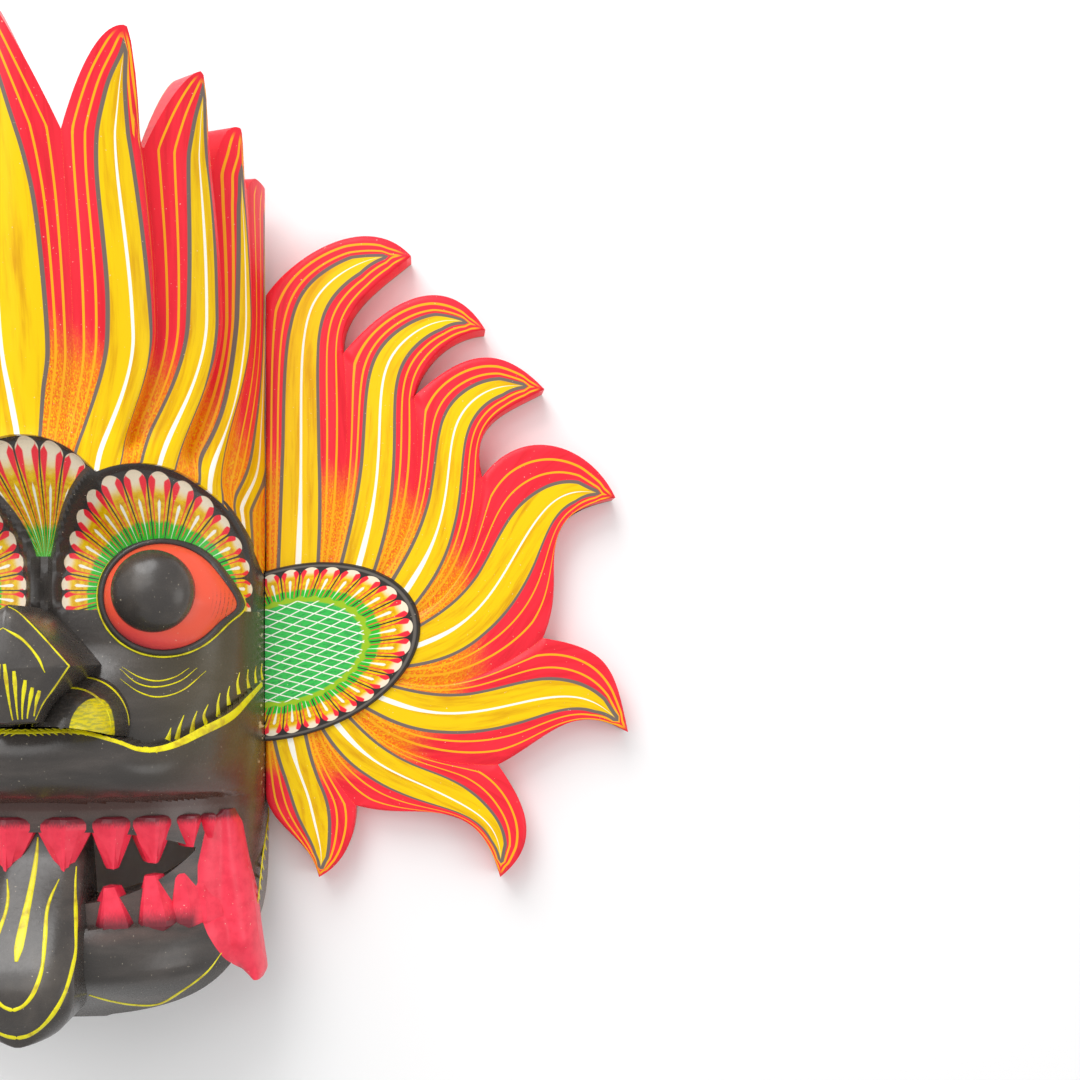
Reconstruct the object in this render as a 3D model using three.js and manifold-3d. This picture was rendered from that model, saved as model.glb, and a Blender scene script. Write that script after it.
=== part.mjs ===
// A flame-crowned demon mask of painted softwood, made of three pieces: one hollow carved block
// with the face and the crown, and two flat ear boards butted against its straight edges.
// It lies on its back. X runs to the viewer's right, Y towards the crown and Z out of the face.
// Lengths are in millimetres. Places on the face are measured from the bridge level, the line
// across the top of the nose, and the finished mask is centred on its own length at the end.
import * as THREE from 'three';
import { mergeVertices } from 'three/addons/utils/BufferGeometryUtils.js';
import Module from 'manifold-3d';

const wasm = await Module();
wasm.setup();

// The block
const blockHalfWidth = 107;
const edgeThickness = 18;
const shellWall = 15;
const crownFront = 118;
const faceFront = 76;
const jointGap = 0.3;

// The crown and its flames, which flare forward as they rise. Angles run round the log from its
// front. The middle flame's tip leans to the left.
const crownWall = 18;
const crownFlare = 23;
const crownBase = 108;
const notchHeight = 248;
const middleFlame = { end: 13.3, height: 57, tip: -3.8, relief: 5 };
const swayOut = 5;
const swayIn = 17;
const swayFoot = 85;
const swayStraight = 140;

// Each side flame, from the middle outwards: the angle of its outer notch, the height of its tip
// over the notches, the places of its tip and of its ridge as shares of the way to that notch, the
// roundness of its inner flank, and how far the outer valley lies behind the ridge
const sideFlames = [
  { end: 37, height: 50, tip: 0.72, ridge: 0.81, flank: 1.9, relief: 11 },
  { end: 62.5, height: 42, tip: 0.61, ridge: 0.66, flank: 1.5, relief: 11 },
  { end: 77.4, height: 26, tip: 0.44, ridge: 0.5, flank: 3, relief: 4 },
  { end: 90, height: 9, tip: 0.5, ridge: 1, flank: 3, relief: 0 },
];

// The fans of petals round the eyes
const eyeX = 56;
const eyeY = 31;
const fanHalfWidth = 52;
const fanRise = 66;
const fanRim = 3.5;
const fanDrop = 8;
const browStart = 48;

// The eyes
const eyeballHalfWidth = 31;
const eyeballHalfHeight = 27;
const eyeballRise = 9;
const irisRadius = 21.7;
const irisRise = 17;
const lidThickness = 3.2;

// The nose
const noseFront = 145;
const noseTop = 22;
const noseShoulder = -7.5;
const noseBottom = -37;
const noseHalfWidth = 30;
const noseFootHalfWidth = 14;
const noseBevel = 4;
const nostrilX = 34;
const nostrilY = -36;
const nostrilRadius = 23;
const nostrilFront = 119;

// The lips, gums and jaw
const lipFront = 122;
const lipTop = -38;
const lipBottom = -77;
const gumFront = 93;
const gumHeight = 12;
const mouthHalfWidth = 78;
const mouthHeight = 37;
const jawFront = 105;
const jawTop = -140;
const jawBottom = -192;
const chinStart = -95;

// The teeth, each with its distance from the middle, width and length
const toothDepth = 17;
const upperTeeth = [[14, 26, 31], [42.5, 21, 26], [62, 20, 24], [79, 13, 17]];
const lowerTeeth = [[34, 22, 23], [55, 21, 29], [72, 15, 24]];
const tuskTop = -84;
const tuskLength = 92;
const tuskWidth = 22;
const tuskX = 92;
const tuskLean = 15;
const tuskFront = 63;
const tuskDepth = 30;

// The tongue
const tongueHalfWidth = 29;
const tongueRootHalfWidth = 24;
const tongueRoot = -93;
const tongueTip = -190;
const tongueRootFront = 88;
const tongueFront = 131;
const tongueBack = 64;

// The ear boards, whose ovals are placed from the board's inner edge and the bridge level
const boardThickness = edgeThickness;
const boardReach = 202.3;
const boardTop = 197.8;
const boardBottom = -78.4;
const valleyWidth = 6;
const valleyDepth = 3;
const ovalOut = 13.7;
const ovalY = -1;
const ovalHalfLength = 75;
const ovalHalfWidth = 47;
const ovalTilt = 17.6;
const ovalRise = 2;
// Each flame of the board: the two bends of its outer edge, its tip, the two bends of its inner
// edge and the notch that ends it, in hundredths of the board's reach and of its inner edge
const boardFlames = [
  {
    out: [[7.8, 108.4], [28.5, 117.5]], tip: [40.1, 108],
    back: [[32, 103], [19.6, 97.5]], notch: [21.4, 88.4],
  },
  {
    out: [[31.5, 97.5], [49.3, 107]], tip: [60.6, 93.1],
    back: [[50.8, 92.5], [42.9, 86.7]], notch: [40.9, 79.7],
  },
  {
    out: [[53.7, 88.1], [63.6, 91.4]], tip: [76.9, 81.1],
    back: [[66.1, 76.9], [56.2, 75.1]], notch: [59.7, 63.3],
  },
  {
    out: [[70.5, 74.4], [89.3, 70.4]], tip: [96.5, 59.2],
    back: [[69.1, 55.2], [85.4, 45.4]], notch: [76.5, 30.8],
  },
  {
    out: [[95.3, 28.7], [96.2, 24.8]], tip: [100, 11.8],
    back: [[84.4, 18.6], [78, 10.3]], notch: [64.1, 5.2],
  },
  {
    out: [[71.5, -2.4], [77, -10.4]], tip: [64.7, -17.5],
    back: [[57.7, 2], [44.8, -7.1]], notch: [24.8, -3],
  },
  {
    out: [[25.1, -8.9], [22.1, -14.7]], tip: [14.7, -17.5],
    back: [[13.2, -10], [0, -7.1]], notch: [0, 0],
  },
];

const mirror = [1, -1];
const radians = THREE.MathUtils.degToRad;
const clamp = THREE.MathUtils.clamp;
const mix = THREE.MathUtils.lerp;
const smooth = THREE.MathUtils.smoothstep;

// A closed geometry as a solid that can be joined and cut
function solid(geometry) {
  const bare = geometry.clone();
  bare.deleteAttribute('normal');
  bare.deleteAttribute('uv');
  const merged = mergeVertices(bare, 1e-4);
  const vertProperties = new Float32Array(merged.attributes.position.array);
  const triVerts = new Uint32Array(merged.index.array);
  return new wasm.Manifold(new wasm.Mesh({ numProp: 3, vertProperties, triVerts }));
}

function joined(solids) {
  return solids.reduce((whole, piece) => whole.add(piece));
}

function namedMesh(name, whole, material) {
  const data = whole.getMesh();
  const geometry = new THREE.BufferGeometry();
  geometry.setAttribute('position', new THREE.BufferAttribute(new Float32Array(data.vertProperties), 3));
  geometry.setIndex(new THREE.BufferAttribute(new Uint32Array(data.triVerts), 1));
  geometry.computeVertexNormals();
  const mesh = new THREE.Mesh(geometry, material);
  mesh.name = name;
  return mesh;
}

// A closed solid between two grids of points with the same rows and columns
function betweenGrids(front, back) {
  const rows = front.length;
  const columns = front[0].length;
  const positions = [];
  const index = [];
  for (const grid of [front, back]) {
    for (const row of grid) {
      for (const point of row) positions.push(...point);
    }
  }
  const at = (layer, row, column) => (layer * rows + row) * columns + column;
  const quad = (a, b, c, d) => index.push(a, b, c, a, c, d);
  for (let row = 0; row < rows - 1; row += 1) {
    for (let column = 0; column < columns - 1; column += 1) {
      quad(at(0, row, column), at(0, row, column + 1), at(0, row + 1, column + 1), at(0, row + 1, column));
      quad(at(1, row, column), at(1, row + 1, column), at(1, row + 1, column + 1), at(1, row, column + 1));
    }
  }
  for (let row = 0; row < rows - 1; row += 1) {
    quad(at(0, row, 0), at(0, row + 1, 0), at(1, row + 1, 0), at(1, row, 0));
    const last = columns - 1;
    quad(at(0, row, last), at(1, row, last), at(1, row + 1, last), at(0, row + 1, last));
  }
  for (let column = 0; column < columns - 1; column += 1) {
    const last = rows - 1;
    quad(at(0, 0, column), at(1, 0, column), at(1, 0, column + 1), at(0, 0, column + 1));
    quad(at(0, last, column), at(0, last, column + 1), at(1, last, column + 1), at(1, last, column));
  }
  const geometry = new THREE.BufferGeometry();
  geometry.setAttribute('position', new THREE.Float32BufferAttribute(positions, 3));
  geometry.setIndex(index);
  return solid(geometry);
}

// A solid under a carved surface: rows run up the mask and columns run across it
function underSurface(rows, columns, halfWidthAt, heightAt, back) {
  const place = (height) => rows.map((y) => columns.map((share) => {
    const x = halfWidthAt(y) * share;
    return [x, y, height(x, y)];
  }));
  return betweenGrids(place(heightAt), place(() => back));
}

function steps(from, to, count) {
  return Array.from({ length: count + 1 }, (_, i) => mix(from, to, i / count));
}

// Round shares across the block, closer together towards its steep sides
function acrossBlock(count) {
  return steps(-90, 90, count).map((angle) => Math.sin(radians(angle)));
}

// The height of the half-round log over the back, for a height in the middle
function logHeight(x, front) {
  const share = Math.min(1, Math.abs(x) / blockHalfWidth);
  return edgeThickness + (front - edgeThickness) * Math.sqrt(1 - share ** 2);
}

function faceHeight(x) {
  const share = Math.min(1, Math.abs(x) / blockHalfWidth);
  return edgeThickness + (faceFront - edgeThickness) * Math.sqrt(1 - share ** 4);
}

// The crown's lower edge: one arch over the forehead and one over each eye
function crownEdge(x) {
  const side = Math.abs(x);
  const overForehead = crownBase - (side / 8.4) ** 2;
  const share = clamp((side - eyeX) / fanHalfWidth, -1, 1);
  return Math.max(overForehead, eyeY + fanRise * Math.sqrt(1 - share ** 2) * 0.985);
}

function crownDepth(y) {
  return crownFront - edgeThickness + crownFlare * Math.max(0, (y - crownBase) / (notchHeight - crownBase));
}

// How far the flames lean sideways at a height: outwards halfway up and inwards at the foot
function sway(angle, y) {
  const rise = clamp((y - swayFoot) / (notchHeight - swayFoot), 0, 1);
  const straight = swayStraight + 0.6 * Math.abs(angle);
  const lean = swayOut * Math.sin(Math.PI * rise) - swayIn * (1 - smooth(y, swayFoot, straight));
  return lean * (angle / 60) * Math.sqrt(1 - (angle / 90) ** 4);
}

// The columns of one side of the crown: angle, height of the top and depth behind the ridge. A
// flame rises gently from its inner valley to the ridge and drops steeply into the outer valley.
function sideColumns() {
  const columns = [];
  let from = middleFlame;
  for (const flame of sideFlames) {
    const { tip, ridge } = flame;
    const add = (share, rise, inset) => {
      const top = notchHeight + flame.height * rise;
      columns.push({ angle: mix(from.end, flame.end, share), top, inset });
    };
    for (const part of [0, 0.4, 1]) {
      const behind = from.relief * (1 - (part * tip) / ridge) ** 1.5;
      add(part * tip, 1 - (1 - part) ** flame.flank, behind);
    }
    if (ridge < 1) add(ridge, 0.3, 0);
    from = flame;
  }
  columns.push({ angle: 90, top: notchHeight + from.height, inset: 0 });
  return columns;
}

function middleColumns() {
  const { end, height, tip, relief } = middleFlame;
  return [(tip - end) / 2, tip, 0, (tip + end) / 2].map((angle) => {
    const side = Math.sign(angle - tip);
    const share = Math.abs(angle - tip) / (end - side * tip);
    const inset = relief * Math.abs(angle / end) ** 1.5;
    return { angle, top: notchHeight + height * (1 - share ** 1.1), inset };
  });
}

function crown() {
  const side = sideColumns();
  const flip = (column) => ({ ...column, angle: -column.angle });
  const columns = [...side.map(flip).reverse(), ...middleColumns(), ...side];
  const rowShares = [0, 0.1, 0.25, 0.42, 0.6, 0.8, 1];
  const grid = (wall) => rowShares.map((share) => {
    const row = columns.map(({ angle, top, inset }) => {
      const foot = crownEdge(blockHalfWidth * Math.sin(radians(angle + sway(angle, swayFoot))));
      const y = mix(foot, top, share);
      const turn = radians(angle + sway(angle, y));
      const depth = wall || inset;
      const x = (blockHalfWidth - depth) * Math.sin(turn);
      return [x, y, edgeThickness + (crownDepth(y) - depth) * Math.cos(turn)];
    });
    const foot = ([x, y]) => [x, y, 0];
    return [foot(row[0]), ...row, foot(row[row.length - 1])];
  });
  return betweenGrids(grid(0), grid(crownWall));
}

// The carved face between the chin and the crown
function creaseHeight(x) {
  const share = Math.abs(x) / blockHalfWidth;
  return lipTop - 10 * Math.sin(Math.PI * clamp(share * 1.05, 0, 1)) + 19 * share ** 6;
}

function faceSurface(x, y) {
  const share = Math.min(1, Math.abs(x) / blockHalfWidth);
  const gum = logHeight(x, gumFront);
  const plain = faceHeight(x);
  const crease = creaseHeight(x);
  if (y > browStart) {
    const brow = logHeight(x, crownFront) - fanDrop * Math.sqrt(1 - share ** 4);
    return mix(plain, Math.max(brow, edgeThickness), smooth(y, browStart, crownEdge(x)));
  }
  if (y > crease) {
    const cheek = logHeight(x, gumFront + 4);
    return mix(cheek, plain, smooth(y, crease, 4));
  }
  const edgeTaper = 1 - share ** 4;
  if (y > lipBottom) {
    const across = (crease - y) / (crease - lipBottom);
    const roll = Math.sqrt(Math.max(0, 1 - (2 * across - 0.92) ** 2));
    return gum + (lipFront - gumFront) * roll * edgeTaper;
  }
  if (y > jawTop) return gum;
  const across = (jawTop - y) / (jawTop - jawBottom);
  const roll = Math.sqrt(Math.max(0, 1 - (1.75 * across - 0.85) ** 2));
  const low = mix(gum, edgeThickness, 0.4 * smooth(across, 0.4, 1));
  return low + (jawFront - gumFront + 6) * (roll - 0.3) * edgeTaper;
}

// The block narrows to a round chin
function blockWidthAt(y) {
  const share = clamp((chinStart - y) / (chinStart - jawBottom), 0, 0.99);
  return blockHalfWidth * (1 - share ** 4) ** 0.4;
}

function hollow() {
  const chinRows = [jawBottom + shellWall, jawBottom + 2 * shellWall, chinStart];
  const rows = [...chinRows, 0, browStart + 10, crownBase + 5];
  const width = (y) => blockWidthAt(y - shellWall) - shellWall;
  const deep = faceFront - shellWall - 3;
  const roof = (y) => mix(deep, crownFront - shellWall, smooth(y, browStart, crownBase));
  const height = (x, y) => Math.max(roof(y) * Math.sqrt(Math.max(0, 1 - (x / width(y)) ** 2)), 1);
  return underSurface(rows, acrossBlock(14), width, height, -10);
}

// The opening between the rows of teeth, cut through to the hollow
function mouth() {
  const top = lipBottom - gumHeight - 3;
  const shape = new THREE.Shape();
  shape.moveTo(-mouthHalfWidth, top - mouthHeight * 0.3);
  shape.quadraticCurveTo(-mouthHalfWidth * 0.8, top, 0, top);
  shape.quadraticCurveTo(mouthHalfWidth * 0.8, top, mouthHalfWidth, top - mouthHeight * 0.3);
  shape.quadraticCurveTo(mouthHalfWidth * 0.8, top - mouthHeight, 0, top - mouthHeight);
  const low = top - mouthHeight;
  shape.quadraticCurveTo(-mouthHalfWidth * 0.8, low, -mouthHalfWidth, top - mouthHeight * 0.3);
  const cut = new THREE.ExtrudeGeometry(shape, { depth: crownFront, bevelEnabled: false, curveSegments: 4 });
  cut.translate(0, 0, edgeThickness + 2);
  return solid(cut);
}

// A faceted tooth with a ridge down its front, pointing along -Y
function tooth(x, gumLine, front, width, length, side, up) {
  const blade = new THREE.CylinderGeometry(1, 0.14, length, 4);
  blade.scale(width / 2, 1, toothDepth / 2);
  if (up) blade.rotateZ(Math.PI);
  const direction = up ? 1 : -1;
  blade.translate(0, (direction * length) / 2, 0);
  blade.rotateY(side * Math.asin(x / blockHalfWidth));
  blade.translate(side * x, gumLine, front);
  return solid(blade);
}

function teeth() {
  const all = [];
  const upperLine = lipBottom - gumHeight + 3;
  const lowerLine = upperLine - mouthHeight - 15;
  for (const side of mirror) {
    for (const [x, width, length] of upperTeeth) {
      all.push(tooth(x, upperLine, logHeight(x, gumFront - 5), width, length, side, false));
    }
    for (const [x, width, length] of lowerTeeth) {
      all.push(tooth(x, lowerLine, logHeight(x, gumFront - 5), width, length, side, true));
    }
  }
  return all;
}

// A tusk that leans outwards and tapers to its tip, with a rounded front
function tusk(side) {
  const grid = (front) => steps(1, 0, 8).map((along) => [-1, -0.6, 0, 0.6, 1].map((across) => {
    const halfWidth = (tuskWidth / 2) * (1 - 0.85 * along ** 2.5);
    const x = tuskX + tuskLean * along ** 2 + across * halfWidth;
    const face = tuskFront - 6 * across ** 2;
    return [x, tuskTop - tuskLength * along, front ? face : tuskFront - tuskDepth * (1 - along / 2)];
  }));
  const right = betweenGrids(grid(true), grid(false));
  return side > 0 ? right : right.mirror([1, 0, 0]);
}

function tongue() {
  const rows = [0, 0.04, 0.12, 0.25, 0.4, 0.6, 0.8, 0.93, 1].map((s) => mix(tongueTip, tongueRoot, s));
  const along = (y) => (tongueRoot - y) / (tongueRoot - tongueTip);
  const width = (y) => {
    const rounded = Math.sqrt(Math.max(0.04, 1 - clamp((along(y) - 0.7) / 0.3, 0, 1) ** 2));
    return mix(tongueRootHalfWidth, tongueHalfWidth, along(y)) * rounded;
  };
  const rise = (y) => mix(tongueRootFront, tongueFront, smooth(along(y), 0, 0.75));
  const front = (y) => rise(y) - 8 * smooth(along(y), 0.8, 1);
  const height = (x, y) => front(y) - 7 * (Math.abs(x) / width(y)) ** 4;
  return underSurface(rows, [-1, -0.9, -0.6, 0, 0.6, 0.9, 1], width, height, tongueBack);
}

// A kite-shaped bulb with steep sides
function nose() {
  const shape = new THREE.Shape();
  const slope = mix(noseShoulder, noseTop, 0.3);
  const low = mix(noseShoulder, noseBottom, 0.6);
  shape.moveTo(0, noseTop);
  shape.bezierCurveTo(0.35 * noseHalfWidth, noseTop, 0.7 * noseHalfWidth, slope, noseHalfWidth, noseShoulder);
  shape.quadraticCurveTo(noseFootHalfWidth, low, noseFootHalfWidth, noseBottom);
  shape.lineTo(-noseFootHalfWidth, noseBottom);
  shape.quadraticCurveTo(-noseFootHalfWidth, low, -noseHalfWidth, noseShoulder);
  shape.bezierCurveTo(-0.7 * noseHalfWidth, slope, -0.35 * noseHalfWidth, noseTop, 0, noseTop);
  const root = faceFront - shellWall;
  const depth = noseFront - root - 2 * noseBevel;
  const rounding = { bevelSize: noseBevel, bevelThickness: noseBevel, bevelOffset: -noseBevel };
  const smoothness = { curveSegments: 5, bevelSegments: 2 };
  const bulb = new THREE.ExtrudeGeometry(shape, { depth, ...rounding, ...smoothness });
  bulb.translate(0, 0, root + noseBevel);
  return solid(bulb);
}

function ball(x, y, z, sizeX, sizeY, sizeZ) {
  const round = new THREE.SphereGeometry(1, 16, 8);
  round.rotateX(Math.PI / 2);
  round.scale(sizeX, sizeY, sizeZ);
  round.translate(x, y, z);
  return solid(round);
}

// A round bead along a path over the surface
function bead(points, radius, closed) {
  const path = new THREE.CatmullRomCurve3(points, closed);
  const section = new THREE.Shape();
  section.absarc(0, 0, radius, 0, 2 * Math.PI);
  const sweep = { steps: 20, extrudePath: path, bevelEnabled: false, curveSegments: 3 };
  return solid(new THREE.ExtrudeGeometry(section, sweep));
}

function eye(side) {
  const flat = faceHeight(eyeX);
  const lid = steps(0, 360, 16).slice(0, -1).map((angle) => {
    const x = eyeX + 6 + (eyeballHalfWidth + 3) * Math.cos(radians(angle));
    const y = eyeY - 3 + (eyeballHalfHeight + 2) * Math.sin(radians(angle));
    return new THREE.Vector3(side * x, y, faceHeight(x) + 1);
  });
  const rim = steps(-8, 196, 20).map((angle) => {
    const x = eyeX + fanHalfWidth * Math.cos(radians(angle));
    const y = eyeY + fanRise * Math.sin(radians(angle));
    const inside = Math.min(x, blockHalfWidth - fanRim - 1);
    return new THREE.Vector3(side * inside, y, Math.max(faceSurface(inside, y - fanRim), edgeThickness) + 1);
  });
  return [
    ball(side * (eyeX + 5), eyeY - 3, flat - 8, eyeballHalfWidth, eyeballHalfHeight, eyeballRise + 8),
    ball(side * eyeX, eyeY, flat - 2, irisRadius, irisRadius, irisRise + 2),
    bead(lid, lidThickness, true),
    bead(rim, fanRim, false),
  ];
}

function maskBlock() {
  const upper = steps(crownBase + 4, 0, 13);
  const lip = steps(-7, lipBottom, 11);
  const gum = [lipBottom - 0.5, ...steps(lipBottom - 10, jawTop, 6)];
  const jaw = steps(jawTop - 4, jawBottom + 1, 8);
  const rows = [...upper, ...lip, ...gum, ...jaw].reverse();
  const face = underSurface(rows, acrossBlock(22), blockWidthAt, faceSurface, 0);
  const carved = face.add(crown()).subtract(mouth());
  const features = [tongue(), nose(), tusk(1), tusk(-1), ...teeth()];
  for (const side of mirror) {
    features.push(...eye(side));
    const deep = nostrilFront - faceFront + 10;
    features.push(ball(side * nostrilX, nostrilY, faceFront - 10, nostrilRadius, nostrilRadius + 1, deep));
  }
  return joined([carved, ...features]).subtract(hollow());
}

const boardInner = blockHalfWidth + jointGap;
const ovalX = boardInner + ovalOut;

// A place on the board from hundredths of its reach and of its inner edge
function onBoard([out, up]) {
  return [boardInner + (boardReach * out) / 100, mix(boardBottom, boardTop, up / 100)];
}

// The flat outline of an ear board
function boardOutline() {
  const shape = new THREE.Shape();
  shape.moveTo(boardInner, boardBottom);
  shape.lineTo(boardInner, boardTop);
  for (const { out, tip, back, notch } of boardFlames) {
    shape.bezierCurveTo(...onBoard(out[0]), ...onBoard(out[1]), ...onBoard(tip));
    shape.bezierCurveTo(...onBoard(back[0]), ...onBoard(back[1]), ...onBoard(notch));
  }
  return shape;
}

// A shallow V-cut from a notch towards the oval
function valley([x, y]) {
  const length = Math.hypot(x - ovalX, y - ovalY) - ovalHalfLength;
  const section = new THREE.Shape();
  const above = valleyDepth / 3;
  section.moveTo(0, 0);
  section.lineTo(valleyWidth / 2, valleyDepth + above);
  section.lineTo(-valleyWidth / 2, valleyDepth + above);
  const groove = { depth: Math.max(length, valleyWidth), bevelEnabled: false };
  const cut = new THREE.ExtrudeGeometry(section, groove);
  cut.translate(0, 0, -valleyWidth);
  cut.rotateX(Math.PI / 2);
  cut.rotateZ(Math.atan2(y - ovalY, x - ovalX) - Math.PI / 2);
  cut.translate(x, y, boardThickness - valleyDepth);
  return solid(cut);
}

function earBoard() {
  const plate = { depth: boardThickness, bevelEnabled: false, curveSegments: 7 };
  const board = new THREE.ExtrudeGeometry(boardOutline(), plate);
  const cuts = boardFlames.slice(0, -1).map(({ notch }) => valley(onBoard(notch)));
  const discBack = boardThickness / 10;
  const disc = new THREE.CylinderGeometry(1, 1, boardThickness + ovalRise - discBack, 40);
  disc.rotateX(Math.PI / 2);
  disc.scale(ovalHalfLength, ovalHalfWidth, 1);
  disc.rotateZ(radians(ovalTilt));
  disc.translate(ovalX, ovalY, (boardThickness + ovalRise + discBack) / 2);
  const blockSide = new THREE.BoxGeometry(4 * ovalHalfLength, 4 * ovalHalfLength, 4 * boardThickness);
  blockSide.translate(boardInner + discBack / 2 - 2 * ovalHalfLength, ovalY, 0);
  const oval = solid(disc).subtract(solid(blockSide));
  return cuts.reduce((whole, cut) => whole.subtract(cut), solid(board)).add(oval);
}

const lacquer = new THREE.MeshStandardMaterial({ color: 0x2d2a28, roughness: 0.3, metalness: 0 });
const rightPaint = new THREE.MeshStandardMaterial({ color: 0xf0c010, roughness: 0.35, metalness: 0 });
const leftPaint = rightPaint.clone();

const right = earBoard();
const mask = new THREE.Group();
mask.add(namedMesh('mask_block', maskBlock(), lacquer));
mask.add(namedMesh('ear_panel_right', right, rightPaint));
mask.add(namedMesh('ear_panel_left', right.mirror([1, 0, 0]), leftPaint));

const bounds = new THREE.Box3().setFromObject(mask);
mask.position.y = -(bounds.min.y + bounds.max.y) / 2;

export default mask;
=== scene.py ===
# %% [markdown]
# # A flame-crowned demon mask
# The real mask is carved from one hollowed block of light softwood, with a flat sawn board
# glued to each side for the ears. It is then primed and painted by hand in glossy enamel.
# This lesson dresses the three solids of the frame with finer carving and with that paint.

# %% Load the fixed frame
import math

import bpy
import numpy as np
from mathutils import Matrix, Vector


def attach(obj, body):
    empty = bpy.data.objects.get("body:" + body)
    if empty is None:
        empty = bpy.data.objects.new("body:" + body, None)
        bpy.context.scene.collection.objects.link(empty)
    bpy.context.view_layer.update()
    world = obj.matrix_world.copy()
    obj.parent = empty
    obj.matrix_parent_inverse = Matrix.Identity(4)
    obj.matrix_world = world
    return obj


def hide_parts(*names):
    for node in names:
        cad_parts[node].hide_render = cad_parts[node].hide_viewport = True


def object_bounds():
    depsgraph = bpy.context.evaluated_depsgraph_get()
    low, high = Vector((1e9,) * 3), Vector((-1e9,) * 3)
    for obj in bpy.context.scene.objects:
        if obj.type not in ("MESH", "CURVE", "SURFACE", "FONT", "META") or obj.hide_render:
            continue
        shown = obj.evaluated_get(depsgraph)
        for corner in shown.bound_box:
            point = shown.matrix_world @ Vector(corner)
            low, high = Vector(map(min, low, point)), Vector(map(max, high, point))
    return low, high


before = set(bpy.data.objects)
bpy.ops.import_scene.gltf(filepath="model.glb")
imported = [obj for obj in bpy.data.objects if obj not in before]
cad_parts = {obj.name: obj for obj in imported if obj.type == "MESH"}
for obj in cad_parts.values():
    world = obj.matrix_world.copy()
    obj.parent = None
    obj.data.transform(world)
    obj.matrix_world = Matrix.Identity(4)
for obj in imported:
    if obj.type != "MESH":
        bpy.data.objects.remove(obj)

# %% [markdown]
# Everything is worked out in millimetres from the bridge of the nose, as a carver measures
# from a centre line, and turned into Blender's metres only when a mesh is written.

MM = 0.001
cad_low, cad_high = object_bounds()
CROWN_TOP = 305.0
BRIDGE = cad_high.y / MM - CROWN_TOP
print(f"the bridge lies {BRIDGE:.1f} mm from the frame's origin")

# %% [markdown]
# The photograph was taken a little above the mask's right cheek. The camera looks straight
# down on the lying mask from there, and a small shift frames it off centre as the photograph
# does.

# %% Camera
IMAGE = 1080
FOCAL_PIXELS = 1403.0
CAMERA_X = 199.0
CAMERA_HEIGHT = 800.0
FOOT_PIXEL = (430.0, 650.0)


def add_camera():
    data = bpy.data.cameras.new("camera")
    data.sensor_width = 36.0
    data.lens = data.sensor_width * FOCAL_PIXELS / IMAGE
    data.shift_x = (IMAGE / 2 - FOOT_PIXEL[0]) / IMAGE
    data.shift_y = (FOOT_PIXEL[1] - IMAGE / 2) / IMAGE
    camera = bpy.data.objects.new("camera", data)
    camera.location = (CAMERA_X * MM, BRIDGE * MM, CAMERA_HEIGHT * MM)
    bpy.context.collection.objects.link(camera)
    bpy.context.scene.camera = camera
    return camera


camera = add_camera()
print(f"lens {camera.data.lens:.1f} mm")


def from_photo(pixel, depth):
    """The place in millimetres of a pixel of the photograph, on a surface at that depth."""
    px, py = np.asarray(pixel, float).T
    scale = (CAMERA_HEIGHT - depth) / FOCAL_PIXELS
    return CAMERA_X + (px - FOOT_PIXEL[0]) * scale, (FOOT_PIXEL[1] - py) * scale


def on_surface(pixels, height):
    """The places of pixels on a carved surface, found by sliding along each line of sight."""
    x, y = from_photo(pixels, 80.0)
    for _ in range(30):
        x2, y2 = from_photo(pixels, height(x, y))
        x, y = (x + x2) / 2, (y + y2) / 2
    return np.stack([x, y], axis=1)


# %% [markdown]
# A carved wall has a painted front and a rough back. This helper takes both as grids of
# points, joins them round their edges, and so makes one closed mesh.

# %% Mesh helpers
def smooth(value, low, high):
    share = np.clip((value - low) / (high - low), 0, 1)
    return share * share * (3 - 2 * share)


def mix(a, b, share):
    return a + (b - a) * share


def smooth_line(points, step=0.7):
    """A soft curve through points, with a point every step."""
    points = np.asarray(points, float)
    ends = np.concatenate([[2 * points[0] - points[1]], points, [2 * points[-1] - points[-2]]])
    pieces = []
    for a, b, c, d in zip(ends, ends[1:], ends[2:], ends[3:]):
        t = np.linspace(0, 1, max(3, int(np.linalg.norm(c - b) / step)), endpoint=False)[:, None]
        bend, twist = 2 * a - 5 * b + 4 * c - d, 3 * b - a - 3 * c + d
        pieces.append((2 * b + (c - a) * t + bend * t**2 + twist * t**3) / 2)
    return np.concatenate([*pieces, points[-1:]])


def soft_table(at, places, values):
    """Values between the entries of a table, without kinks."""
    return np.interp(at, *smooth_line(np.column_stack([places, values]), 2.0).T)


def grid_faces(rows, columns, keep=None, start=0):
    faces = []
    for row in range(rows - 1):
        for column in range(columns - 1):
            if keep is None or keep[row][column]:
                a = start + row * columns + column
                faces.append((a, a + 1, a + columns + 1, a + columns))
    return faces


def without_doubles(face):
    return tuple(dict.fromkeys(face))


def shell(name, front, back, faces, fields, material, sharp=35):
    """A closed mesh between front and back points that share their faces."""
    count = len(front)
    faces = [f for f in map(without_doubles, faces) if len(f) > 2]
    edges = {(a, b) for f in faces for a, b in zip(f, f[1:] + f[:1])}
    walls = [(b, a, a + count, b + count) for a, b in edges if (b, a) not in edges]
    backs = [tuple(i + count for i in reversed(f)) for f in faces]
    points = np.concatenate([front, back]) * MM + [0, BRIDGE * MM, 0]
    both = {key: np.concatenate([value, value]) for key, value in fields.items()}
    both["side"] = np.repeat([[1.0, 0, 0], [0.0, 0, 0]], count, axis=0)
    return finished(name, points, faces + walls + backs, both, material, sharp)


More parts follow.
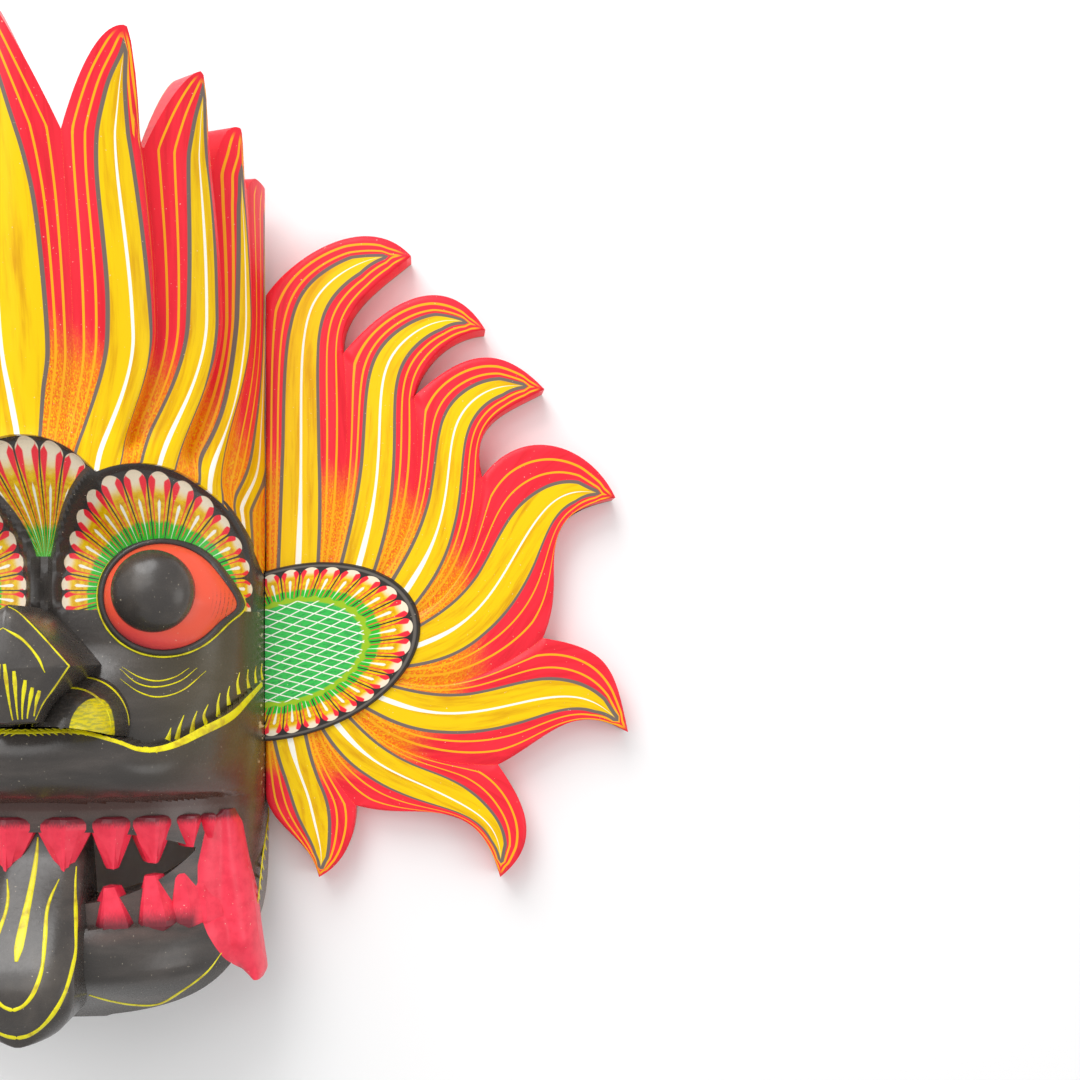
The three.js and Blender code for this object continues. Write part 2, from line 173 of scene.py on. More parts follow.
def finished(name, points, faces, fields, material, sharp=35):
    mesh = bpy.data.meshes.new(name)
    mesh.from_pydata(points.tolist(), [], faces)
    fields.setdefault("side", np.ones((len(points), 3)))
    for key, value in fields.items():
        attribute = mesh.attributes.new(key, "FLOAT_VECTOR", "POINT")
        attribute.data.foreach_set("vector", np.ascontiguousarray(value, np.float32).ravel())
    mesh.polygons.foreach_set("use_smooth", [True] * len(mesh.polygons))
    mesh.validate()
    mesh.set_sharp_from_angle(angle=math.radians(sharp))
    mesh.materials.append(material)
    piece = bpy.data.objects.new(name, mesh)
    bpy.context.collection.objects.link(piece)
    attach(piece, "root")
    print(f"{name}: {len(mesh.polygons)} faces")
    return piece


def tube_faces(rows, count, ends=True, loop=False):
    """The faces of a tube made of rings, with flat ends, or of one that closes on itself."""
    faces = []
    for row in range(rows if loop else rows - 1):
        here, there = row * count, (row + 1) % rows * count
        for column in range(count):
            after = (column + 1) % count
            faces.append((here + column, there + column, there + after, here + after))
    if ends:
        faces.append(tuple(range(count)))
        faces.append(tuple(reversed(range((rows - 1) * count, rows * count))))
    return faces


def turned(faces):
    """The same faces, seen from the other side."""
    return [tuple(reversed(face)) for face in faces]


def level_ring(middle, half_x, half_y, turn, z):
    """An ellipse of points at one height."""
    x, y = middle[0] + half_x * np.cos(turn), middle[1] + half_y * np.sin(turn)
    return np.column_stack([x, y, np.full(len(turn), z)])


# %% [markdown]
# Paint is mixed by small formulas. The class below wraps a shader socket, so that sums and
# products of sockets are written as sums and products, and each one adds its Math node.

# %% Shader expressions
class Sock:
    """A shader socket, or a plain number, that can be used in an expression."""

    tree = None

    def __init__(self, socket):
        self.socket = socket

    @staticmethod
    def node(kind, settings=None, inputs=None, out=0):
        made = Sock.tree.nodes.new(kind)
        for key, value in (settings or {}).items():
            setattr(made, key, value)
        for key, value in (inputs or {}).items():
            Sock.feed(made.inputs[key], value)
        return Sock(made.outputs[out])

    @staticmethod
    def feed(socket, value):
        if isinstance(value, Sock):
            Sock.tree.links.new(value.socket, socket)
        elif socket.type == "RGBA" and len(value) == 3:
            socket.default_value = (*value, 1.0)
        else:
            socket.default_value = value

    @staticmethod
    def maths(operation, *values):
        return Sock.node("ShaderNodeMath", {"operation": operation}, dict(enumerate(values)))

    def __add__(self, other):
        return Sock.maths("ADD", self, other)

    def __radd__(self, other):
        return Sock.maths("ADD", other, self)

    def __sub__(self, other):
        return Sock.maths("SUBTRACT", self, other)

    def __rsub__(self, other):
        return Sock.maths("SUBTRACT", other, self)

    def __mul__(self, other):
        return Sock.maths("MULTIPLY", self, other)

    def __rmul__(self, other):
        return Sock.maths("MULTIPLY", other, self)

    def __truediv__(self, other):
        return Sock.maths("DIVIDE", self, other)

    def __rtruediv__(self, other):
        return Sock.maths("DIVIDE", other, self)

    def __pow__(self, other):
        return Sock.maths("POWER", self, other)

    def __neg__(self):
        return Sock.maths("MULTIPLY", self, -1.0)

    def __abs__(self):
        return Sock.maths("ABSOLUTE", self)


def larger(a, b):
    return Sock.maths("MAXIMUM", a, b)


def smaller(a, b):
    return Sock.maths("MINIMUM", a, b)


def ramp(value, low, high):
    """A soft step: 0 below low and 1 above high, or the other way where high is lower."""
    names = {"Value": value, "From Min": low, "From Max": high, "To Min": 0.0, "To Max": 1.0}
    return Sock.node("ShaderNodeMapRange", {"interpolation_type": "SMOOTHSTEP"}, names)


def inside(distance, half, soft=0.12):
    """1 where a distance in millimetres is less than half."""
    return ramp(distance, half + soft, half - soft)


def parts(vector):
    split = Sock.node("ShaderNodeSeparateXYZ", None, {0: vector})
    return [Sock(output) for output in split.socket.node.outputs]


def field(name):
    return parts(Sock.node("ShaderNodeAttribute", {"attribute_name": name}, None, "Vector"))


def vector(x, y, z=0.0):
    return Sock.node("ShaderNodeCombineXYZ", None, {0: x, 1: y, 2: z})


def noise(place, scale, detail=3.0, roughness=0.55):
    inputs = {"Vector": place, "Scale": scale, "Detail": detail, "Roughness": roughness}
    return Sock.node("ShaderNodeTexNoise", None, inputs)


def over(base, colour, mask):
    """Paint a colour over another where the mask is 1."""
    mixed = Sock.tree.nodes.new("ShaderNodeMix")
    mixed.data_type = "RGBA"
    for socket, value in zip((mixed.inputs[0], mixed.inputs[6], mixed.inputs[7]), (mask, base, colour)):
        Sock.feed(socket, value)
    return Sock(mixed.outputs[2])


def paint(red, green, blue):
    """A colour as seen on the photograph, 0 to 255, as the light that Blender works in."""
    shares = [value / 255 for value in (red, green, blue)]
    return tuple(s / 12.92 if s < 0.04 else ((s + 0.055) / 1.055) ** 2.4 for s in shares)


def object_place():
    return Sock.node("ShaderNodeTexCoord", None, None, "Object")


# %% [markdown]
# All the colours are enamel: opaque, glossy, and brushed on so thinly in places that the
# bristles leave streaks. One helper gives every paint the same gloss, brush marks and dust.

# %% Enamel
LACQUER = paint(62, 58, 55)
YELLOW = paint(246, 204, 0)
OCHRE = paint(214, 150, 0)
RED = paint(250, 45, 62)
DEEP_RED = paint(225, 35, 50)
ORANGE = paint(240, 112, 10)
LINE_YELLOW = paint(250, 175, 25)
FACE_YELLOW = paint(235, 225, 10)
OUTLINE = paint(118, 104, 96)
WHITE = paint(255, 253, 240)
CREAM = paint(247, 232, 205)
GREEN = paint(52, 195, 45)
NET_GREEN = paint(60, 195, 85)


def enamel(name, colour, gloss=0.26, shine=0.5):
    """Finish a material whose colour was made by an expression."""
    place = object_place()
    streaks = noise(place, 420.0, 2.0)
    dust = ramp(noise(place, 900.0, 1.0), 0.765, 0.79)
    shade = Sock.tree.nodes["Principled BSDF"]
    Sock.feed(shade.inputs["Base Color"], over(colour, CREAM, dust * 0.6))
    Sock.feed(shade.inputs["Roughness"], gloss + 0.14 * streaks)
    height = 0.4 * streaks + noise(place, 60.0, 3.0)
    inputs = {"Strength": 0.22, "Distance": 0.0005, "Height": height}
    Sock.feed(shade.inputs["Normal"], Sock.node("ShaderNodeBump", None, inputs))
    shade.inputs["Specular IOR Level"].default_value = shine
    print(f"{name}: {len(Sock.tree.nodes)} nodes")


def material(name):
    made = bpy.data.materials.new(name)
    made.use_nodes = True
    Sock.tree = made.node_tree
    return made


# %% [markdown]
# Each flame, on the crown and on the ears, is painted alike: a yellow blade with a white
# line down it and a grey outline, on a red ground with two thin lines at each side. Near the
# foot the red fades into dabbed orange. The mesh carries three numbers for this: the distance
# from the blade's middle, the half width of the flame, and the share of its length.

# %% Flame paint
def flame_colour():
    across, half, rise = field("strip")
    edge, white_at, seed = field("blade")
    away = abs(across)
    band = larger(half - edge, 0.05)
    outside = away - edge
    grain = noise(vector(across * 0.22, rise * 3.5, seed * 7.3), 1.0, 4.0, 0.6)
    dabs = noise(vector(across * 1.6, rise * 150.0, seed * 3.1), 1.0, 2.0, 0.7)
    ground = over(RED, DEEP_RED, ramp(grain, 0.35, 0.75))
    foot = ramp(rise + 0.16 * (grain - 0.5), 0.32, 0.1)
    ground = over(ground, ORANGE, smaller(foot * 1.5, 0.85))
    ground = over(ground, YELLOW, foot * ramp(dabs, 0.4, 0.7))
    share = outside / band
    for place in (0.36, 0.7):
        line = inside(abs(share - place) * band, 0.55) * ramp(rise, 0.99, 0.96)
        ground = over(ground, LINE_YELLOW, line)
    blade = over(YELLOW, OCHRE, ramp(grain, 0.42, 0.8))
    width = 0.75 + 0.85 * ramp(rise, 0.26, 0.03) - 0.45 * ramp(rise, 0.55, 0.9)
    width = width * smaller(edge / 6.0, 1.0)
    blade = over(blade, WHITE, inside(abs(across - white_at), width) * ramp(rise, 0.94, 0.9))
    colour = over(ground, blade, inside(outside, 0.0))
    outline = inside(abs(outside - 0.9), 1.0) * ramp(rise, 0.985, 0.97)
    return over(colour, OUTLINE, outline)


# %% [markdown]
# The fans round the eyes, over the nose and on the ears are rows of petals. A petal has a
# cream tip with two red tongues, a yellow body with a white drop, and a green foot. It is
# drawn from the petal's number, the distance from its tip and the width of one petal.

# %% Petal paint
def petal_colour(number, from_tip, pitch, length, ground):
    side = abs(Sock.maths("FRACT", number) - 0.5) * 2.0
    along = from_tip / length
    grain = noise(vector(number * 3.0, from_tip * 0.4), 1.0, 3.0)
    body = over(CREAM, YELLOW, ramp(along + 0.1 * side * side + 0.08 * (grain - 0.5), 0.12, 0.3))
    body = over(body, OCHRE, ramp(grain, 0.35, 0.65) * ramp(along, 0.18, 0.36) * 0.85)
    body = over(body, GREEN, ramp(along + 0.04 * side, 0.66, 0.74))
    tongue = 0.3 * ramp(along, 0.04, 0.11) - 0.24 * ramp(along, 0.11, 0.4)
    red = inside(abs(side - 0.66 + 0.1 * along) * 5.0, tongue * 5.0, 0.3) * ramp(along, 0.97, 0.85)
    body = over(body, RED, red)
    drop = 0.17 * ramp(along, 0.33, 0.4) - 0.12 * ramp(along, 0.42, 0.9)
    body = over(body, WHITE, inside(side * 5.0, drop * 5.0 - 0.1, 0.25) * ramp(along, 0.31, 0.34))
    round_tip = 1.0 - Sock.maths("SQRT", larger(1.0 - side * side * 1.18, 0.0))
    edge = inside(side * pitch * 0.5, pitch * 0.46)
    return over(ground, body, ramp(from_tip - round_tip * pitch * 0.5, -0.1, 0.15) * edge)

# %% [markdown]
# The crown is the upper half of the log, cut into standing flames. Each one rises gently to a
# ridge and drops steeply at its outer side, so the flames overlap like roof tiles. Their feet
# lean inwards over the eyes, and their tips lean forward.

# %% The crown's form
HALF = 107.0
EDGE = 18.0
CROWN_FRONT = 118.0
CROWN_WALL = 18.0
CROWN_BASE = 108.0
NOTCH = 248.0
FLARE = 23.0
MIDDLE = {"end": 13.3, "height": 57, "tip": -3.8, "relief": 5}
SIDE_FLAMES = [
    {"end": 37, "height": 50, "tip": 0.72, "ridge": 0.81, "flank": 1.9, "relief": 11},
    {"end": 62.5, "height": 42, "tip": 0.61, "ridge": 0.66, "flank": 1.5, "relief": 11},
    {"end": 77.4, "height": 26, "tip": 0.44, "ridge": 0.5, "flank": 3, "relief": 4},
    {"end": 90, "height": 9, "tip": 0.5, "ridge": 1.0, "flank": 3, "relief": 0},
]
# Where each blade's inner edge, white line and outer edge run, as shares of the flame's width,
# at some heights over the bridge
BLADE_HEIGHTS = [
    [97, 125, 170, 232, 266, 286],
    [97, 125, 165, 232, 262, 279],
    [92, 120, 165, 225, 240, 250],
    [75, 97, 125, 170, 215, 240],
]
BLADES = [
    [
        (0.24, 0.32, 0.38, 0.36, 0.5, 0.69),
        (0.57, 0.62, 0.6, 0.55, 0.62, 0.69),
        (0.9, 0.84, 0.77, 0.71, 0.67, 0.69),
    ],
    [
        (0.22, 0.28, 0.31, 0.42, 0.52, 0.62),
        (0.47, 0.5, 0.49, 0.54, 0.58, 0.62),
        (0.7, 0.68, 0.6, 0.64, 0.62, 0.62),
    ],
    [
        (0.2, 0.33, 0.24, 0.36, 0.42, 0.46),
        (0.44, 0.5, 0.38, 0.42, 0.44, 0.46),
        (0.75, 0.6, 0.5, 0.48, 0.46, 0.46),
    ],
    [
        (0.15, 0.55, 0.66, 0.75, 0.85, 0.9),
        (0.37, 0.78, 0.84, 0.86, 0.9, 0.9),
        (0.6, 0.98, 0.98, 0.95, 0.92, 0.9),
    ],
]
MIDDLE_HEIGHTS = [100, 125, 150, 205, 232, 256, 282]
MIDDLE_BLADE = [
    (-0.55, -0.68, -0.75, -0.78, -0.72, -0.6, -0.3),
    (-0.06, -0.2, -0.3, -0.32, -0.3, -0.3, -0.3),
    (0.42, 0.42, 0.5, 0.41, 0.26, 0.0, -0.3),
]

# %% [markdown]
# A place on the crown is given by its angle round the log and its height over the bridge. The
# middle flame and the four at its right are laid out side by side and then mirrored, so the
# crown is one mesh. The paint's numbers are worked out for the same points.

# %% The crown's flames
SWAY_OUT, SWAY_IN = 5.0, 17.0
SWAY_FOOT, SWAY_STRAIGHT = 85.0, 140.0
ROUND_GIRTH = 105.0
FOOT_TUCK = 3.0
FLAME_ROWS = 90
# The first and last points stay just off the edges of their flame
JUST_INSIDE = 0.0005


def sway(angle, y):
    """How far in degrees the flames lean out halfway up, and in at their feet."""
    rise = np.clip((y - SWAY_FOOT) / (NOTCH - SWAY_FOOT), 0, 1)
    foot = 1 - smooth(y, SWAY_FOOT, SWAY_STRAIGHT + 0.6 * abs(angle))
    lean = SWAY_OUT * np.sin(np.pi * rise) - SWAY_IN * foot
    return lean * angle / 60 * np.sqrt(np.maximum(1 - (angle / 90) ** 4, 0))


def crown_edge(x):
    """The crown's lower edge: an arch over the nose and one over each eye."""
    side = np.abs(x)
    share = np.clip((side - 56) / 52, -1, 1)
    return np.maximum(CROWN_BASE - (side / 8.4) ** 2, 31 + 65 * np.sqrt(1 - share**2))


def crown_point(angle, y, inset):
    turn = np.radians(angle + sway(angle, y))
    depth = CROWN_FRONT - EDGE + FLARE * np.maximum(0, (y - CROWN_BASE) / (NOTCH - CROWN_BASE))
    x = (HALF - inset) * np.sin(turn)
    return np.stack([x, y, EDGE + (depth - inset) * np.cos(turn)], axis=-1)


def middle_flame():
    """The flame over the nose: its columns, its top edge, its relief and its blade."""
    end, tip = MIDDLE["end"], MIDDLE["tip"]
    u = np.linspace(-1, 1, 33) * (1 - JUST_INSIDE)
    angle = u * end
    share = np.where(angle > tip, (angle - tip) / (end - tip), (tip - angle) / (end + tip))
    return {
        "u": u,
        "angle": angle,
        "top": 1 - share**1.1,
        "inset": MIDDLE["relief"] * np.abs(u) ** 1.5,
        "flank_wall": 0 * u,
        "tip": tip / end,
        "ridge": 1.0,
        "flank": 1.1,
        "relief": 0.0,
        "height": MIDDLE["height"],
        "width": np.radians(end) * ROUND_GIRTH,
        "heights": MIDDLE_HEIGHTS,
        "blade": MIDDLE_BLADE,
    }


def side_flame(number):
    """One of the four right-hand flames, which drops steeply beyond its ridge."""
    flame = SIDE_FLAMES[number - 1]
    before = SIDE_FLAMES[number - 2] if number > 1 else MIDDLE
    tip, ridge, relief = flame["tip"], flame["ridge"], flame["relief"]
    u = np.concatenate([np.linspace(JUST_INSIDE, ridge, 22), np.linspace(ridge, 1 - JUST_INSIDE, 9)[1:]])
    if ridge == 1:
        u = np.linspace(JUST_INSIDE, 1, 24)
    rising = 1 - np.clip(1 - u / tip, 0, 1) ** flame["flank"]
    falling = np.clip(1 - ((u - tip) / (ridge + 0.05 - tip)) ** 2, 0, 1)
    wall = np.clip((u - ridge) / max(1 - ridge, 0.01), 0, 1) * relief
    gentle = before["relief"] * np.clip(1 - u / ridge, 0, 1) ** 1.5
    return {
        "u": u,
        "angle": before["end"] + u * (flame["end"] - before["end"]),
        "top": rising if ridge == 1 else np.where(u < tip, rising, falling),
        "inset": gentle + smooth(wall, 0, relief + 0.01) * relief,
        "flank_wall": wall,
        "tip": tip,
        "ridge": ridge,
        "flank": flame["flank"],
        "relief": relief,
        "height": flame["height"],
        "width": np.radians(flame["end"] - before["end"]) * ROUND_GIRTH,
        "heights": BLADE_HEIGHTS[number - 1],
        "blade": BLADES[number - 1],
    }


def flame_grid(number):
    """The points and the paint of one right-hand flame, or of the middle one (number 0)."""
    form = side_flame(number) if number else middle_flame()
    u, angle, tip, ridge, width = (form[key] for key in ("u", "angle", "tip", "ridge", "width"))
    rows = np.linspace(0, 1, FLAME_ROWS)[:, None]
    foot_turn = np.radians(angle + sway(angle, SWAY_FOOT))
    foot = crown_edge(HALF * np.sin(foot_turn)) - FOOT_TUCK
    y = mix(foot, NOTCH + form["height"] * form["top"], rows)
    inset = form["inset"] * smooth(y - foot, 1, 19)
    front = crown_point(angle, y, inset)
    back = crown_point(angle, y, CROWN_WALL)
    # Above the notches the flame narrows, so the lines of paint close in on its tip
    over_notch = np.clip((y - NOTCH) / form["height"], 0, 0.999)
    low = u[0] + (tip - u[0]) * (1 - (1 - over_notch) ** (1 / form["flank"]))
    high = u[-1] + (tip - u[-1]) * over_notch
    if ridge < 1:
        high = np.where(over_notch > 0, tip + (ridge + 0.05 - tip) * np.sqrt(1 - over_notch), u[-1])

    def along_surface(share):
        """The distance from the flame's inner edge of a share of its width."""
        return share * width + np.clip(share - ridge, 0, 1) / max(1 - ridge, 0.01) * form["relief"]

    left, white, right = [soft_table(y, form["heights"], values) for values in form["blade"]]
    closing = np.clip((y - form["heights"][-1]) / 10, 0, 1) * 3
    spine = (along_surface(left) + along_surface(right)) / 2
    across = u * width + form["flank_wall"] - spine
    half = np.where(across > 0, along_surface(high) - spine, spine - along_surface(low))
    edge = (along_surface(right) - along_surface(left)) / 2 - closing
    rise = (y - foot) / (NOTCH + form["height"] - foot)
    strip = np.stack([across, half, rise], axis=-1)
    seed = np.full_like(y, number + 1.0)
    paint_at = np.stack([edge, along_surface(white) - spine, seed], axis=-1)
    return front, back, strip, paint_at


def flip_flame(front, back, strip, paint_at):
    other_side = [front * [-1, 1, 1], back * [-1, 1, 1], strip * [-1, 1, 1], paint_at * [1, -1, 1]]
    return [values[:, ::-1] for values in other_side]


flames = [flame_grid(number) for number in range(5)]
ordered = [flip_flame(*flame) for flame in flames[:0:-1]] + flames
front, back, strip, paint_at = [np.concatenate(values, axis=1) for values in zip(*ordered)]
rows, columns = front.shape[:2]
print(f"the crown has {rows} rows and {columns} columns")

# %% [markdown]
# The crown's paint follows the flames, and its back stays bare softwood, as it does where
# only the wall sees it.

# %% The crown as a piece
BARE = paint(176, 140, 98)


def flat(values):
    return np.asarray(values, float).reshape(-1, values.shape[-1])


def with_bare_back(colour):
    """The paint ends at the edge, and the back shows the wood."""
    side = field("side")[0]
    grain = noise(object_place(), 90.0, 4.0)
    return over(BARE, colour, ramp(side + 0.06 * (grain - 0.5), 0.04, 0.08))


flame_paint = material("flame paint")
enamel("flame paint", with_bare_back(flame_colour()), 0.3, 0.22)
shell(
    "crown",
    flat(front),
    flat(back),
    grid_faces(rows, columns),
    {"strip": flat(strip), "blade": flat(paint_at)},
    flame_paint,
)

# %% [markdown]
# Each ear is a flat board sawn into seven curling flames round an oval. A shallow groove runs
# from each notch to the oval, and the paint of a flame lies between two grooves. So the mesh
# is laid out as seven strips, from the oval to the tips, and the oval closes them in rings.

# %% The ear boards' form
BOARD_INNER = HALF + 0.3
BOARD_REACH = 202.3
BOARD_TOP, BOARD_BOTTOM = 197.8, -78.4
OVAL = {"x": BOARD_INNER + 13.7, "y": -1.0, "long": 75.0, "short": 47.0, "tilt": math.radians(17.6)}
OVAL_RISE, OVAL_CUSHION = 2.0, 0.8
# Two bends of the outer edge, the tip, two bends of the inner edge and the notch, in hundredths
# of the board's reach and of its inner edge
BOARD_FLAMES = [
    [(7.8, 108.4), (28.5, 117.5), (40.1, 108), (32, 103), (19.6, 97.5), (21.4, 88.4)],
    [(31.5, 97.5), (49.3, 107), (60.6, 93.1), (50.8, 92.5), (42.9, 86.7), (40.9, 79.7)],
    [(53.7, 88.1), (63.6, 91.4), (76.9, 81.1), (66.1, 76.9), (56.2, 75.1), (59.7, 63.3)],
    [(70.5, 74.4), (89.3, 70.4), (96.5, 59.2), (69.1, 55.2), (85.4, 45.4), (76.5, 30.8)],
    [(95.3, 28.7), (96.2, 24.8), (100, 11.8), (84.4, 18.6), (78, 10.3), (64.1, 5.2)],
    [(71.5, -2.4), (77, -10.4), (64.7, -17.5), (57.7, 2), (44.8, -7.1), (24.8, -3)],
    [(25.1, -8.9), (22.1, -14.7), (14.7, -17.5), (13.2, -10), (0, -7.1), (0, 0)],
]
GROOVE_PIXELS = [(330, 562), (387, 570), (421, 612), (407, 681), (362.5, 719), (315.5, 736)]
# The blade's half width as a share of the strip's, at some shares of its length
BLADE_RISE = [0, 0.3, 0.6, 0.85, 0.93]
BLADE_SHARES = [0.56, 0.42, 0.36, 0.27, 0.0]
SPINE_SHIFT = [-0.12, -0.06, 0.0, 0.0, 0.0, 0.0, 0.0]


def on_board(point):
    out, up = point
    return np.array([BOARD_INNER + BOARD_REACH * out / 100, mix(BOARD_BOTTOM, BOARD_TOP, up / 100)])


def bezier(a, b, c, d, count=200):
    t = np.linspace(0, 1, count)[:, None]
    return a * (1 - t) ** 3 + 3 * b * t * (1 - t) ** 2 + 3 * c * t * t * (1 - t) + d * t**3


def evenly(points, shares):
    """Points at shares of the length of a line."""
    steps = np.linalg.norm(np.diff(points, axis=0), axis=1)
    length = np.concatenate([[0], np.cumsum(steps)])
    return np.stack([np.interp(shares * length[-1], length, column) for column in points.T], axis=1)


def oval_point(turn, size=1.0):
    along, across = size * OVAL["long"] * np.cos(turn), size * OVAL["short"] * np.sin(turn)
    cos, sin = math.cos(OVAL["tilt"]), math.sin(OVAL["tilt"])
    x = OVAL["x"] + along * cos - across * sin
    y = OVAL["y"] + along * sin + across * cos
    return np.stack([x, y], axis=-1)


def oval_turn(x, y):
    cos, sin = math.cos(OVAL["tilt"]), math.sin(OVAL["tilt"])
    dx, dy = x - OVAL["x"], y - OVAL["y"]
    return np.arctan2((dy * cos - dx * sin) / OVAL["short"], (dx * cos + dy * sin) / OVAL["long"])


turns = np.linspace(-math.pi, math.pi, 4001)
crossing = np.where(np.diff(np.sign(oval_point(turns)[:, 0] - BOARD_INNER)))[0]
lower_turn, upper_turn = turns[crossing[0]], turns[crossing[-1]]
groove_turns = [upper_turn, *[float(oval_turn(*from_photo(p, 20.0))) for p in GROOVE_PIXELS], lower_turn]
print("grooves meet the oval at", [round(math.degrees(turn)) for turn in groove_turns])

GROOVE_ROWS, PRONG_ROWS, ACROSS = 40, 60, 29
u = np.sin(np.linspace(-math.pi / 2, math.pi / 2, ACROSS)) * (1 - JUST_INSIDE)
strips, strip_fields, blade_fields = [], [], []
notches = [np.array([BOARD_INNER, BOARD_TOP]), *[on_board(flame[5]) for flame in BOARD_FLAMES]]


def side_line(number, bends, tip):
    """One edge of a strip: along a groove to the notch, then along the prong to its tip."""
    start = oval_point(groove_turns[number])
    notch = notches[number]
    outward = (start - [OVAL["x"], OVAL["y"]]) * [1 / OVAL["long"], 1 / OVAL["short"]]
    outward = outward / np.linalg.norm(outward) * np.linalg.norm(notch - start) * 0.45
    bend = start + (outward if 0 < number < 7 else (notch - start) * 0.5)
    groove = bezier(start, mix(start, bend, 0.7), mix(bend, notch, 0.5), notch)
    prong = bezier(notch, *bends, tip)
    lower = evenly(groove, np.linspace(0, 1, GROOVE_ROWS))
    upper = evenly(prong, np.linspace(0, 1, PRONG_ROWS + 1)[1:])
    return np.concatenate([lower, upper])


# %% [markdown]
# A strip starts out straight between its two side lines. Its foot is then bent along the
# oval and its inside is eased, so that its rows follow the curl of the flame.

# %% The ear boards' strips
for number, flame in enumerate(BOARD_FLAMES):
    out_a, out_b, tip, back_a, back_b, _ = map(on_board, flame)
    left = side_line(number, (out_a, out_b), tip)
    right = side_line(number + 1, (back_b, back_a), tip)
    turn = mix(groove_turns[number], groove_turns[number + 1], (u + 1) / 2)
    straight = left[:, None] + (right - left)[:, None] * (u[None, :, None] + 1) / 2
    # The strip's foot follows the oval's curve
    bow = oval_point(turn)[None] - straight[:1]
    fade = smooth(np.linspace(1, -1.2, GROOVE_ROWS + PRONG_ROWS), 0, 1)[:, None, None]
    flat_place = straight + bow * fade
    eased = flat_place.copy()
    for _ in range(160):
        eased[1:-1] = (eased[:-2] + 2 * eased[1:-1] + eased[2:]) / 4
    flat_place = mix(flat_place, eased, (1 - np.abs(u) ** 6)[None, :, None])
    middle = (left + right) / 2
    steps = np.linalg.norm(np.diff(middle, axis=0), axis=1)
    length = np.concatenate([[0], np.cumsum(steps)])
    rise = (length / length[-1])[:, None]
    half = np.linalg.norm(right - left, axis=1)[:, None] / 2
    from_edge = (1 - np.abs(u))[None] * half
    grooved = np.arange(GROOVE_ROWS + PRONG_ROWS)[:, None] < GROOVE_ROWS
    groove = np.clip(1 - from_edge / 5, 0, 1) * 1.6
    edge_round = 1.3 * np.clip(1 - from_edge / 2.0, 0, 1) ** 2
    outer = ((number == 0) & (u < 0)) | ((number == 6) & (u > 0))
    z = EDGE - np.where(grooved & ~outer[None], groove, edge_round)
    strips.append(np.concatenate([flat_place, z[..., None]], axis=-1))
    shift = SPINE_SHIFT[number] * np.sin(np.pi * np.clip(rise, 0, 1)) * half
    blade_half = half * np.interp(rise, BLADE_RISE, BLADE_SHARES)
    closing = np.clip((rise - BLADE_RISE[-1]) / 0.02, 0, 1) * 3
    ones = np.ones_like(u)[None]
    across = u[None] * half - shift
    room = np.where(across > 0, half - shift, half + shift)
    strip_fields.append(np.stack([across, room, rise * ones], axis=-1))
    seed = np.full_like(across, number + 11.0)
    blade_fields.append(np.stack([(blade_half - closing) * ones, 0 * seed, seed], axis=-1))

# %% [markdown]
# The seven strips are sewn together along their grooves, and rings of points close the oval
# over the strips' feet. Its middle is raised a little, like a cushion.

# %% The ear boards' mesh
strip_rows = GROOVE_ROWS + PRONG_ROWS
ear_points = [flat(strip) for strip in strips]
ear_strip = [flat(values) for values in strip_fields]
ear_blade = [flat(values) for values in blade_fields]
ear_faces = []
for number in range(7):
    start = number * strip_rows * ACROSS
    ear_faces += grid_faces(strip_rows, ACROSS, None, start)
    if number:
        for row in range(GROOVE_ROWS - 1):
            a = start - strip_rows * ACROSS + row * ACROSS + ACROSS - 1
            b = start + row * ACROSS
            ear_faces.append((a, b, b + ACROSS, a + ACROSS))
rim = [number * strip_rows * ACROSS + column for number in range(7) for column in range(ACROSS)]
centre = np.array([BOARD_INNER, -5.0])
rim_places = np.concatenate(ear_points)[rim][:, :2]
ring_shares = [0.02, 0.2, 0.4, 0.6, 0.75, 0.85, 0.92, 0.96, 0.985]
ring_start = 7 * strip_rows * ACROSS
for share in ring_shares:
    height = EDGE + OVAL_RISE + OVAL_CUSHION * (1 - share**2)
    ring = centre + (rim_places - centre) * share
    ear_points.append(np.column_stack([ring, np.full(len(rim), height)]))
    ear_strip.append(np.tile([0.0, 1.0, 0.0], (len(rim), 1)))
    ear_blade.append(np.tile([0.0, 0.0, 11.0], (len(rim), 1)))
ear_faces += grid_faces(len(ring_shares), len(rim), None, ring_start)
last = ring_start + (len(ring_shares) - 1) * len(rim)
for column in range(len(rim) - 1):
    ear_faces.append((last + column, last + column + 1, rim[column + 1], rim[column]))
hub = ring_start + len(ring_shares) * len(rim)
ear_points.append(np.array([[*centre, EDGE + OVAL_RISE + OVAL_CUSHION]]))
ear_strip.append(np.array([[0.0, 1.0, 0.0]]))
ear_blade.append(np.array([[0.0, 0.0, 11.0]]))
ear_faces += [(hub, ring_start + column + 1, ring_start + column) for column in range(len(rim) - 1)]
ear_faces = [tuple(reversed(f)) if hub in f else f for f in ear_faces]
ear_front = np.concatenate(ear_points)


# %% [markdown]
# The oval has a dark rim, a ring of petals and a green middle under a net of white lines. It
# is painted by position, so its lines stay sharp at any distance.

# %% Ear paint
def millimetres():
    """Distances in millimetres from the middle and the bridge, the same on both sides."""
    x, y, z = parts(object_place())
    return abs(x) / MM, y / MM - BRIDGE, z / MM


def length_of(x, y):
    return Sock.maths("SQRT", x * x + y * y)


def arc(turn, a, b):
    """The length along an ellipse up to an angle of its parameter."""
    return (a + b) / 2 * turn - (a - b) / 4 * Sock.maths("SINE", turn * 2.0)


